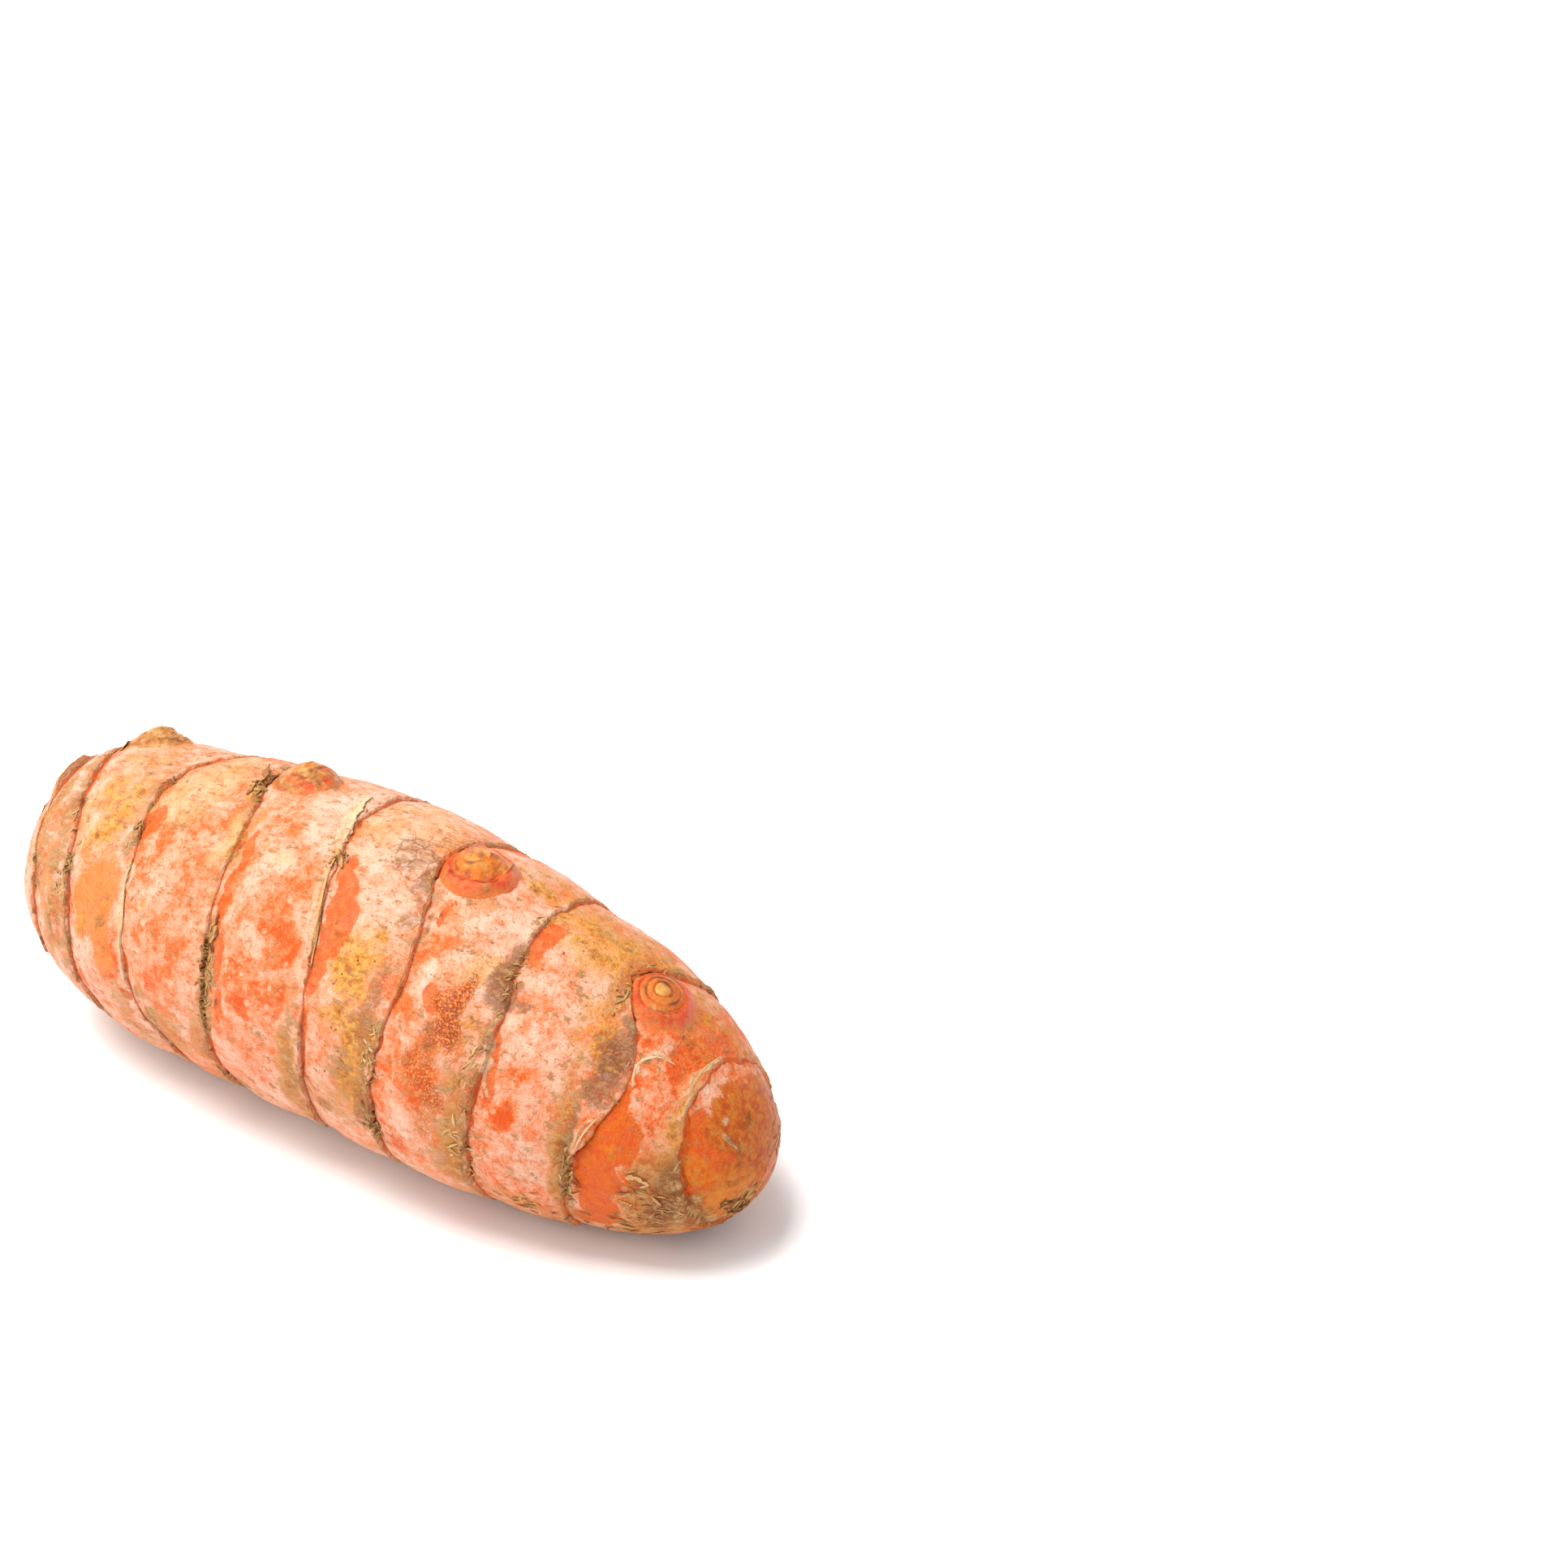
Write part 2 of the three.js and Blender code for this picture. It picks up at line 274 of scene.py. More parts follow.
# Patches of the skin: along, angle, half length, half breadth, strength.
# A patch stays between the two rings that it starts between.
patches = {
    "blush": [  # coral that shows through the thin outer skin
        (-20.5, 100, 3, 3, 0.5), (-18.3, 83, 1, 2.2, 0.8), (-19, 68, 0.8, 3, 0.65), (-27.2, -16, 0.8, 2, 0.9),
        (-17.2, 26, 1, 1.2, 0.62), (-14.8, 28, 1.1, 1.3, 0.58), (-16, 36, 2.4, 1.2, 0.52),
        (-17.4, 44, 1.1, 1.1, 0.75),
        (-12.5, 50, 2.5, 3, 0.46), (-15, 64, 2.5, 2.5, 0.62), (-12.5, 70, 3, 3, 0.68), (-13, 80, 3, 1.5, 0.74),
        (-15.8, 78, 1.2, 2, 0.62), (-13, 92, 3, 2, 0.42), (-10.6, 66, 1, 4, 0.6),
        (-8, 8, 1.8, 1.4, 0.7), (-9, 18, 1, 1.5, 0.66), (-6.5, 16, 2, 1.2, 0.56), (-3.6, 28, 1.2, 1.6, 0.62),
        (-8.8, 45, 0.8, 5, 0.76), (-6.5, 50, 1.5, 2, 0.56), (-4, 44, 1.6, 1.8, 0.84), (-2.6, 52, 1.4, 2, 0.8),
        (-5.5, 62, 2, 1.2, 0.7), (-3, 68, 1.8, 1.8, 0.84), (-5.5, 76, 1.5, 1.2, 0.85), (-7, 70, 1.2, 2, 0.62),
        (-5, 88, 2, 1.5, 0.6), (-7.2, 85, 0.8, 2, 0.6), (-6, 100, 2.5, 2, 0.44),
        (2, 105, 2, 4, 0.36), (0.9, 90, 0.6, 5, 0.5), (-1, 12, 0.6, 1, 0.6),
        (7.9, 25, 0.9, 2, 0.62), (7.9, 42, 1.1, 4, 0.64), (8.1, 60, 1.2, 5, 0.66), (7.8, 80, 0.9, 5, 0.66),
        (8.4, 101, 1.3, 2, 0.74), (9.2, 24, 0.8, 1.3, 0.74), (11.3, 9, 0.7, 0.6, 0.62), (9.9, 10, 0.6, 1, 0.5),
        (10.6, 70, 1.8, 3, 0.78), (12, 78, 0.8, 1.5, 0.74), (11, 90, 0.9, 2, 0.6),
        (15, 12, 0.8, 2, 0.62), (17, 5, 1.2, 1, 0.62), (17, 48, 1.4, 1, 0.55), (17.2, 54, 1, 0.6, 0.76),
        (17, 71, 1.1, 1.4, 0.95), (17, 77, 1.2, 0.8, 0.86), (16, 80, 0.9, 1.2, 0.62),
        (16.3, 87, 1.2, 0.6, 0.72),
        (18, 95, 1.5, 1.5, 0.42), (16, 112, 1, 1.5, 0.7), (24.5, 28, 1, 3, 0.66), (25.8, 40, 1, 3, 0.56),
        (23.9, 52, 0.5, 2, 0.8), (25.2, 85, 0.5, 1.5, 0.9), (16, -20, 2.5, 3, 0.75), (20, -16, 2, 3, 0.8),
        (25.4, -14, 1.6, 3, 0.9), (26, 6, 1, 3, 0.85),
    ],
    "cream": [  # paler than the skin around
        (-21, 83, 1.6, 1.6, 1), (-16.5, 10, 3, 3, 0.7), (-17, 51, 0.7, 0.9, 0.9), (-15.7, 54, 0.6, 0.9, 1),
        (-5, -5, 2, 4, 1), (-6.4, 26, 1, 1, 0.9), (-7.5, 37, 1.2, 1.6, 0.7), (1, 5, 2.5, 6, 0.7),
        (2.5, 22, 2.5, 3, 0.8), (8.8, 36, 0.5, 0.9, 1.3), (12, 8, 1.5, 2.5, 0.9), (10.5, 18, 1.5, 2, 0.7),
        (13, 35, 0.6, 2, 0.8), (16, 22, 1.2, 1.8, 0.8), (16.5, 38, 1.4, 1.6, 0.8), (19, 30, 1, 4, 0.6),
        (19, 60, 1.2, 4, 0.5), (15.8, 83, 0.5, 0.6, 1), (9.3, 93, 1.2, 1.5, 0.7), (18, 85, 1.2, 1.5, 0.6),
        (24.8, 12, 0.7, 0.6, 0.8), (24.9, 43, 0.7, 0.7, 0.7), (27.9, 14, 0.5, 2.6, 0.9),
        (28.1, 30, 0.4, 1.4, 0.8),
        (30.4, 70, 0.2, 0.3, 1.5), (29.2, 96, 0.25, 0.4, 1.5), (-28.5, 30, 0.6, 4, 0.5),
        (-26.5, 75, 0.6, 3, 0.6), (-2.2, 60, 0.8, 1.2, 0.6), (-23.8, 40, 0.4, 2.5, 0.6),
    ],
    "yellow": [  # a thin yellow tint
        (-17, 0, 3, 5, 0.7), (-16, 14, 2, 2, 0.6), (-24, 30, 3, 4, 0.6), (-6.5, 26, 1, 0.8, 0.9),
        (0, -15, 4, 5, 0.6),
        (3.5, 45, 2.5, 3, 0.7), (12, 28, 1.4, 1.5, 0.8), (17, -10, 4, 3, 0.9), (13.4, 92, 1, 3, 0.8),
        (19.5, 20, 1, 2, 0.6), (27, 40, 0.8, 5, 0.7), (-11.5, 22, 0.7, 3, 0.8), (5, 80, 2, 3, 0.6),
        (-1, 95, 1, 4, 0.6),
    ],
    "stain": [  # ochre
        (-22.5, 22, 2.3, 4, 0.8), (-23.5, 2, 2, 4, 0.55), (-22, 72, 1.4, 0.8, 0.7), (-26, 45, 1, 3, 0.5),
        (-13, 102, 2.5, 2.2, 0.45), (-12.2, 2, 0.9, 1.2, 0.9), (-15.7, 54, 0.35, 0.5, 0.8),
        (-10.7, 25, 0.4, 3, 0.6),
        (3.2, 50, 1.8, 2.4, 1), (4.6, 62, 1.6, 3, 0.9), (5.4, 78, 1.3, 3, 0.9), (4.6, 90, 1.8, 3, 0.7),
        (2.6, 66, 0.9, 1.2, 0.6), (4.4, 33, 0.8, 0.7, 0.7), (4.1, 40, 1.2, 0.9, 0.6), (6.2, 63, 0.8, 1.4, 1),
        (5.8, 75, 1, 2, 0.9), (3.2, 74, 1, 1, 0.5), (4, 88, 1.6, 1, 0.4), (6.4, 82, 0.5, 0.9, 1),
        (-1, 88, 0.8, 5, 0.5), (12.8, 28, 1, 1.2, 0.5), (13.5, 62, 0.6, 8, 0.5), (13.2, 98, 1, 2.2, 0.8),
        (7, 3, 1, 0.7, 0.6), (11, 105, 1.2, 1, 0.4), (17, -13, 2.6, 2.2, 0.9), (18.4, -5, 1.6, 1.6, 0.9),
        (11, -26, 3, 3, 0.7), (14.4, -20, 2, 3, 0.7), (19, -28, 3, 3, 0.6), (25.5, -26, 2.5, 3, 0.5),
        (26, -5, 1, 1.6, 0.6), (5, -22, 1.6, 2, 0.6), (3, -14, 1.4, 1.6, 0.5),
        (13.6, -12, 0.6, 1.8, 1), (19.8, 25, 0.9, 3, 0.7), (21.2, 26, 0.9, 2.4, 0.9),
        (21.6, 40, 0.7, 1.6, 0.7), (22.6, 30, 0.5, 1.2, 0.8), (20.5, 75, 0.7, 5, 0.5),
        (17.5, 103, 1.2, 0.9, 0.5),
        (17.5, 113, 1.6, 1, 0.7), (25, -20, 0.8, 0.8, 0.8), (27.2, 45, 0.6, 4, 0.6), (24.6, -3, 0.5, 0.5, 0.6),
    ],
    "bare": [  # smooth red-orange, where the outer skin is gone
        (-18.9, 26, 0.8, 1.6, 1), (-18.7, 20, 0.5, 0.8, 0.8), (-16.8, 94, 0.6, 0.5, 0.8), (-8, 66, 0.5, 2, 1),
        (-1.2, 18, 0.7, 1.4, 0.9), (-0.2, 28, 0.9, 2, 1), (0.8, 38, 1.2, 2.2, 1), (0.5, 51, 0.7, 2.4, 1),
        (14.3, 4, 0.8, 2.2, 1), (15.1, 62, 0.45, 2.4, 1), (15, 50, 0.3, 1.6, 0.8), (9.9, 43, 0.8, 1.1, 1),
        (-4.6, 79, 0.9, 0.5, 0.8), (-1.9, 72, 0.4, 1.4, 0.6), (-21.5, 98, 0.4, 0.8, 0.9),
        (14.4, 72, 0.4, 2, 0.8),
        (-9.6, 22, 0.4, 1.4, 0.8), (-9.2, 36, 0.35, 2.6, 0.7), (-8.6, 49, 0.4, 1.6, 0.9),
        (-7.3, 80, 0.4, 1.4, 0.8),
        (-27.4, -14, 0.5, 1.4, 0.8), (7.4, 16, 0.3, 1.2, 0.8), (26.4, -16, 0.9, 1.6, 0.9),
        (25.6, 8, 0.7, 1.4, 0.9),
    ],
    "flesh": [  # vivid orange, where it was peeled last
        (23.4, 66, 1.4, 2.4, 1), (24.6, 64, 1.1, 1.6, 1), (22.8, 80, 1.2, 3, 1), (23.3, 95, 1.4, 3, 1),
        (23.1, 110, 1.2, 2.4, 1), (23.7, 50, 0.7, 1.8, 1), (22.3, 118, 1.4, 1.2, 0.8), (25.5, 60, 0.6, 1, 0.6),
        (28.4, 58, 0.8, 2.4, 1), (28.9, 70, 1, 2, 1), (28.2, 46, 0.6, 2, 1), (29.4, 62, 0.7, 1.6, 0.9),
        (28.9, 82, 0.8, 1.6, 0.9),
    ],
    "amber": [  # yellow-orange that glows through
        (28.9, 70, 0.7, 1.2, 1), (29.6, 84, 0.9, 2, 0.8), (29.9, 105, 0.9, 2.2, 0.8), (23.6, 72, 0.6, 0.8, 0.6),
        (28.5, 62, 0.5, 0.8, 0.7), (30.6, 75, 0.5, 1, 0.6),
    ],
    "peach": [  # orange under a whole skin
        (-21.3, 62, 1.5, 3, 1), (-19.6, 64, 1.2, 3, 0.9), (-18.9, 82, 0.8, 2, 0.8), (-20.5, 48, 1.6, 1.2, 0.6),
    ],
    "tan": [  # weathered, rough
        (-12.5, 105, 2.5, 2.5, 0.7), (-9.4, 100, 0.8, 3, 0.7), (-1, 92, 0.9, 4, 0.8), (-0.8, 110, 1, 3, 0.9),
        (3.5, 100, 3, 2.5, 0.5), (2, 104, 0.8, 0.8, 0.9), (4, 88, 1.5, 1.2, 0.6), (5.8, 93, 1, 3, 0.7),
        (13.2, 70, 0.8, 4, 0.6), (13.2, 90, 1, 4, 0.8), (12.8, 105, 1.2, 3, 0.8), (20.7, 60, 0.9, 4, 0.6),
        (20.8, 80, 0.9, 5, 0.85), (20.8, 100, 1, 4, 0.9), (26.4, 80, 1.3, 2, 0.9), (27, 95, 1.8, 4, 1),
        (26.5, 112, 2, 3, 1), (25.5, 124, 2, 3, 0.9), (18, -26, 4, 3, 0.4), (19.8, -12, 1, 3, 0.7),
        (20, 2, 0.8, 1.8, 0.9), (20.3, 11, 0.7, 1, 0.9), (-24, -22, 2, 2, 0.5), (9.5, 4, 0.8, 0.8, 0.7),
        (-29.8, 10, 0.7, 4, 0.9), (-29.4, 60, 0.6, 4, 0.6), (-26.3, 30, 0.7, 3, 0.7),
        (-25.6, 62, 0.6, 2.4, 0.6),
        (-24, 85, 0.6, 3, 0.6), (-10.7, 16, 0.6, 2.4, 0.8), (-10.2, 30, 0.5, 2.4, 0.7), (-9.9, 45, 0.4, 2, 0.5),
        (-20, 12, 0.6, 3, 0.7), (-13.6, 100, 0.7, 3, 0.7), (14, -24, 3, 3, 0.4), (24.6, -30, 2, 3, 0.4),
        (28.9, 118, 1, 2, 0.8), (30.3, 136, 0.6, 1.6, 0.9), (-28.6, 42, 0.8, 4, 0.9), (-28, 66, 0.7, 3, 0.9),
        (-26.6, 62, 0.6, 3, 0.8),
        (-25.2, 88, 0.8, 3, 0.8), (-17.5, 100, 0.9, 2, 0.6), (-15.4, 88, 0.4, 2, 0.6), (6, 70, 0.7, 3, 0.7),
    ],
    "bruise": [  # grey-violet felt and smudges
        (2.4, 1, 1.9, 2, 0.7), (4.6, 8, 1, 2, 0.9), (5.6, 20, 0.7, 2, 0.7), (5.8, 48, 0.9, 2, 0.7),
        (5.4, 62, 1.1, 2.4, 0.7), (4.2, 80, 1.3, 1.6, 0.6), (5.6, 96, 0.9, 2.5, 0.7),
        (13.6, 22, 0.9, 2.6, 1), (14.3, 30, 0.8, 1.6, 1),
        (14.6, 31, 0.7, 1.2, 0.9), (22.6, 22, 0.8, 2, 1), (22.4, 33, 1.2, 2.6, 1), (22.3, 45, 1, 1.6, 0.9),
        (21.6, 30, 1, 3, 0.6), (21.9, 14, 0.8, 0.8, 0.9), (21.5, 64, 0.4, 2, 0.6), (21.2, 90, 0.5, 4.5, 0.5),
        (27.6, 90, 0.9, 3, 0.8), (27.8, 78, 0.7, 1.6, 0.8), (27.2, 106, 1.2, 2.2, 0.9), (4, 86, 1.6, 1.3, 0.4),
        (2.2, 103, 0.8, 0.8, 0.6), (-24.2, 55, 0.7, 1.6, 0.8), (-19.4, 33, 0.35, 1.6, 0.7),
    ],
    "grain": [  # rough corky scar
        (11.3, 44, 1.3, 2, 1), (11.6, 52, 1.5, 1.6, 1), (12, 36, 0.8, 1.2, 1), (10.8, 56, 0.8, 1, 0.9),
        (10.6, 68, 1.6, 1.8, 0.75), (11.6, 76, 1, 1.6, 0.8), (11.4, 88, 1, 1.6, 0.6), (9.6, 22, 0.7, 1, 0.5),
        (9.3, 68, 0.8, 1.4, 0.5),
    ],
    "felt": [  # dried sheath left at the rings
        (-27.6, 5, 0.8, 3, 0.6), (-26.6, 25, 0.9, 3, 0.7), (-25.6, 45, 0.7, 3, 0.6), (-24.3, 58, 0.8, 2.2, 0.7),
        (-24, 72, 0.7, 3, 0.7), (-22.8, 90, 0.7, 3, 0.6), (-20.4, 5, 0.5, 2.2, 0.7), (-19.5, 33, 0.5, 1.8, 0.9),
        (-15.8, 93, 0.5, 1, 0.7), (-14.4, 103, 0.7, 2, 0.8), (-13.8, 115, 0.8, 2, 0.8),
        (-13.2, -10, 0.5, 1.8, 0.9), (-12.3, 0, 0.5, 1.8, 1), (-11.4, 10, 0.5, 1.6, 0.9),
        (-10.6, 28, 0.35, 2, 0.6),
        (-10.2, 38, 0.3, 1, 0.7), (-9.2, 60, 0.6, 1.8, 1), (-8.9, 72, 0.6, 2.6, 1), (-8.6, 86, 0.5, 2.4, 0.9),
        (-8.8, 100, 0.35, 3, 0.8), (-9, 112, 0.4, 3, 0.7), (-0.8, 72, 0.4, 2, 0.5), (-0.7, 96, 0.5, 3, 0.6),
        (4.2, -8, 0.4, 1.6, 0.7), (4.7, 6, 0.5, 1.6, 0.8), (5.6, 14, 0.5, 1.2, 0.7), (6.6, 25, 0.35, 1, 0.7),
        (6.5, 37, 0.3, 3, 0.5), (6.5, 66, 0.6, 2, 0.7), (6.4, 78, 0.5, 2, 0.8), (6.2, 92, 0.5, 2, 0.8),
        (13.2, -5, 0.3, 2, 0.6), (13.9, 22, 0.6, 1.8, 0.7), (14.4, 46, 0.35, 1.8, 0.8),
        (14.3, 62, 0.4, 2.6, 0.7),
        (13.9, 85, 0.4, 4, 0.7), (13.8, 108, 0.4, 3, 0.8), (21.2, 80, 0.35, 5, 0.7), (21, 105, 0.5, 3, 0.8),
        (20.4, -5, 0.5, 2.4, 0.9), (28, 82, 0.5, 2.4, 0.8), (28.5, 100, 0.5, 3, 0.9), (28.8, 115, 0.5, 3, 1),
        (27.4, 45, 0.3, 3, 0.4), (-27.6, 58, 0.5, 3, 0.8), (-28.8, 28, 0.5, 3, 0.7), (-25, 76, 0.5, 2.5, 0.8),
    ],
    "umber": [  # dark brown spots
        (15.8, 31, 0.55, 0.65, 1.6), (10.1, 53, 0.4, 0.6, 1.8), (10.3, 46, 0.4, 0.5, 0.6),
        (10.4, 61, 0.7, 0.4, 0.7),
    ],
    "speckle": [  # where the fine dark specks are
        (3.5, 60, 3, 9, 1), (3, 95, 3, 5, 1), (10, 60, 3, 9, 0.5), (18, 60, 4, 9, 0.4), (4, 15, 3, 5, 0.8),
        (18, 0, 4, 5, 0.9), (25, 30, 2, 9, 0.5), (11, 20, 3, 5, 0.4),
    ],
    "crackle": [  # where the outer skin has cracked
        (2.3, 0, 2.2, 2.4, 1), (4.4, 8, 1.2, 2, 0.8), (5.5, 45, 1.2, 4, 0.5), (12.4, 30, 1.4, 3, 0.6),
        (13.2, 60, 0.9, 4, 0.6),
        (26.5, 100, 2, 4, 0.7),
    ],
    "lip": [(-29.9, 4, 0.6, 2.2, 1)],  # a thick bit of the first ring
}

# Lines on the skin: half width, strength, and points along and round the finger.
strokes = {
    "umber": [
        (0.45, 1, [(-26.7, 12), (-26.2, 20), (-25.6, 30)]),
        (0.3, 0.7, [(-20, 0), (-19.6, 10), (-19.2, 20)]),
        (0.3, 0.8, [(-19.2, 26), (-18.8, 36)]),
        (0.4, 0.7, [(-14.3, 98), (-13.8, 106)]),
        (0.4, 1, [(-13.4, -13), (-12.6, -5), (-12, 3)]),
        (0.3, 0.7, [(-10.3, 22), (-10, 33), (-9.9, 38)]),
        (0.4, 1, [(-8.9, 57), (-8.5, 64), (-8.4, 72)]),
        (0.32, 0.8, [(-7.3, 70), (-7.6, 78), (-8.2, 88), (-8.6, 100), (-8.8, 112)]),
        (0.25, 1, [(-3.2, 13), (-2.4, 15), (-1.8, 18)]),
        (0.25, 0.8, [(-2.7, 13), (-2.2, 22), (-1.2, 34), (-0.4, 46), (-0.1, 54)]),
        (0.3, 0.9, [(0.3, 72), (0.35, 85), (0.2, 98)]),
        (0.25, 0.6, [(-0.9, 75), (-1, 90), (-1.1, 105)]),
        (0.3, 0.8, [(3.9, -18), (4.1, -5), (4.8, 6), (6.2, 15), (6.8, 22)]),
        (0.25, 0.6, [(6.9, 22), (7, 40), (7.2, 55), (7.1, 66)]),
        (0.35, 0.9, [(7, 62), (6.8, 74), (6.6, 84)]),
        (0.3, 0.9, [(6.6, 86), (6.5, 98), (6.8, 112), (6.9, 122)]),
        (0.3, 0.8, [(13.6, -14), (13.7, -6), (13.4, 2), (13.4, 10)]),
        (0.3, 0.7, [(13.5, 14), (14, 22), (14.8, 34)]),
        (0.25, 0.8, [(14.3, 42), (14.8, 52)]),
        (0.28, 0.85, [(14.3, 66), (14, 80), (13.9, 95), (13.9, 110), (14.2, 120)]),
        (0.45, 1, [(20.4, -20), (20.3, -8), (20.4, 2)]),
        (0.25, 0.75, [(21.8, 58), (21.5, 70), (21.3, 85), (21.4, 100), (21, 112)]),
        (0.3, 0.9, [(28.1, 72), (28.3, 82), (28.6, 95), (28.8, 112)]),
        (0.4, 0.9, [(29.2, 8), (29.5, 22), (30, 34), (30.3, 52)]),
        (0.35, 0.8, [(30.2, 2), (30.6, 26), (30.8, 60)]),
        (0.3, 0.7, [(30, 96), (30.3, 78), (30.7, 70)]),
    ],
    "pale": [
        (0.4, 0.9, [(-18.5, 42), (-18.2, 52), (-17.6, 64), (-17.4, 74), (-16.8, 86)]),
        (0.6, 1, [(-5.2, -16), (-4.4, -5), (-3.6, 4), (-3.2, 11)]),
        (0.35, 0.8, [(-3, 20), (-2, 32), (-1.1, 44)]),
        (0.3, 0.6, [(-0.9, 46), (-0.5, 58)]),
        (0.25, 1, [(25.3, 15), (24.4, 17.5), (23.9, 21), (23.6, 28), (24, 35)]),
        (0.22, 0.8, [(26.9, -10), (26.8, 8), (27, 23), (27.3, 40)]),
        (0.22, 0.6, [(8.4, 64), (8.5, 72), (8.4, 80)]),
        (0.25, 0.7, [(14.6, 44), (15.1, 54), (14.7, 62), (15, 68)]),
        (0.25, 0.8, [(22.6, 60), (22.1, 68), (21.9, 76)]),
        (0.2, 0.7, [(29, 2), (29.2, 14), (29.4, 24), (29.7, 30)]),
    ],
}
hiddenSide = {  # patches scattered over the back and the belly
    "seed": 41,
    "from": 138,
    "to": 318,
    "kinds": {
        "blush": 26, "cream": 16, "stain": 16, "bare": 9, "flesh": 4, "bruise": 9,
        "tan": 14, "speckle": 6, "crackle": 4,
    },
}


# Patches for the back and the belly: for each kind, evenly random places and sizes from one seed.
def scatterHidden():
    rng = np.random.default_rng(hiddenSide["seed"])
    for kind, count in hiddenSide["kinds"].items():
        along = rng.uniform(-27, 28, count)
        angle = rng.uniform(hiddenSide["from"], hiddenSide["to"], count)
        halfLength = rng.uniform(0.7, 2.4, count)
        halfBreadth = rng.uniform(1.0, 3.6, count)
        strength = rng.uniform(0.5, 1.0, count)
        patches[kind] += list(zip(along, angle, halfLength, halfBreadth, strength))


# Strength of a kind of mark. A patch is full inside half of its reach and gone at one and a half, between
# the two rings that it starts between. A stroke fades with the distance from its line.
def markField(kind, along, angle, out, internode):
    field = np.zeros(along.shape)
    for place, turned, halfLength, halfBreadth, strength in patches.get(kind, []):
        own = sum(float(ringAlong(ring, turned)) < place for ring in range(len(rings)))
        aside = np.radians(turnFrom(turned, angle)) * out
        reach = np.hypot((along - place) / halfLength, aside / halfBreadth)
        field = np.maximum(field, strength * soften(1.5 - reach, 0, 1) * (internode == own))
    for halfWidth, strength, line in strokes.get(kind, []):
        away = np.full(along.shape, 99.0)
        for (fromAlong, fromAngle), (toAlong, toAngle) in zip(line, line[1:]):
            runAlong, runAside = toAlong - fromAlong, np.radians(toAngle - fromAngle) * out
            goneAlong, goneAside = along - fromAlong, np.radians(turnFrom(fromAngle, angle)) * out
            share = (goneAlong * runAlong + goneAside * runAside) / (runAlong**2 + runAside**2 + 1e-6)
            share = np.clip(share, 0, 1)
            away = np.minimum(away, np.hypot(goneAlong - share * runAlong, goneAside - share * runAside))
        field = np.maximum(field, strength * soften(1 - away / halfWidth, 0, 0.8))
    return field


# A closed mesh from one or more grids of points: columns run round, and both ends of a grid close in a pole.
def meshRound(name, starts, grids, ends):
    count, rows, steps = grids.shape[:3]
    points = np.concatenate([starts[:, None], grids.reshape(count, -1, 3), ends[:, None]], 1) * mm
    index = np.arange(rows * steps).reshape(rows, steps) + 1
    right = np.roll(index, -1, axis=1)
    sides = np.stack([index[:-1], right[:-1], right[1:], index[1:]], -1).reshape(-1, 4)
    startCap = np.stack([np.zeros(steps, int), right[0], index[0]], -1)
    endCap = np.stack([np.full(steps, rows * steps + 1), index[-1], right[-1]], -1)
    firsts = np.arange(count)[:, None, None] * points.shape[1]
    faces = [(part + firsts).reshape(-1, part.shape[1]).tolist() for part in (startCap, sides, endCap)]
    mesh = bpy.data.meshes.new(name)
    mesh.from_pydata(points.reshape(-1, 3).tolist(), [], sum(faces, []))
    mesh.polygons.foreach_set("use_smooth", np.ones(len(mesh.polygons), bool))
    mesh.update()
    return mesh


# A number for every point of the mesh, which the material reads by name.
def addField(mesh, name, values):
    values = np.ravel(values).astype(np.float32)
    mesh.attributes.new(name, "FLOAT", "POINT").data.foreach_set("value", values)


# A grid's values with those of its two poles, which are the means of the nearest rows.
def withPoles(values):
    return np.concatenate([[values[0].mean()], values.ravel(), [values[-1].mean()]])


# A finished piece: it stays at the origin and rides on the finger.
def addPiece(name, mesh, material):
    piece = bpy.data.objects.new(name, mesh)
    bpy.context.scene.collection.objects.link(piece)
    mesh.materials.append(material)
    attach(piece, "root")
    return piece


# A ring as the leaf left it: its smooth place along the finger, with an uneven edge.
def ringLine(ring, angle):
    turned = np.radians(angle)
    loop = np.stack([np.cos(turned) * 12, np.sin(turned) * 12, np.full(np.shape(turned), ring * 31.7)], -1)
    return ringAlong(ring, angle) + clouds(loop, 2.2, 60 + ring, 4) * skinForm["ragged"]


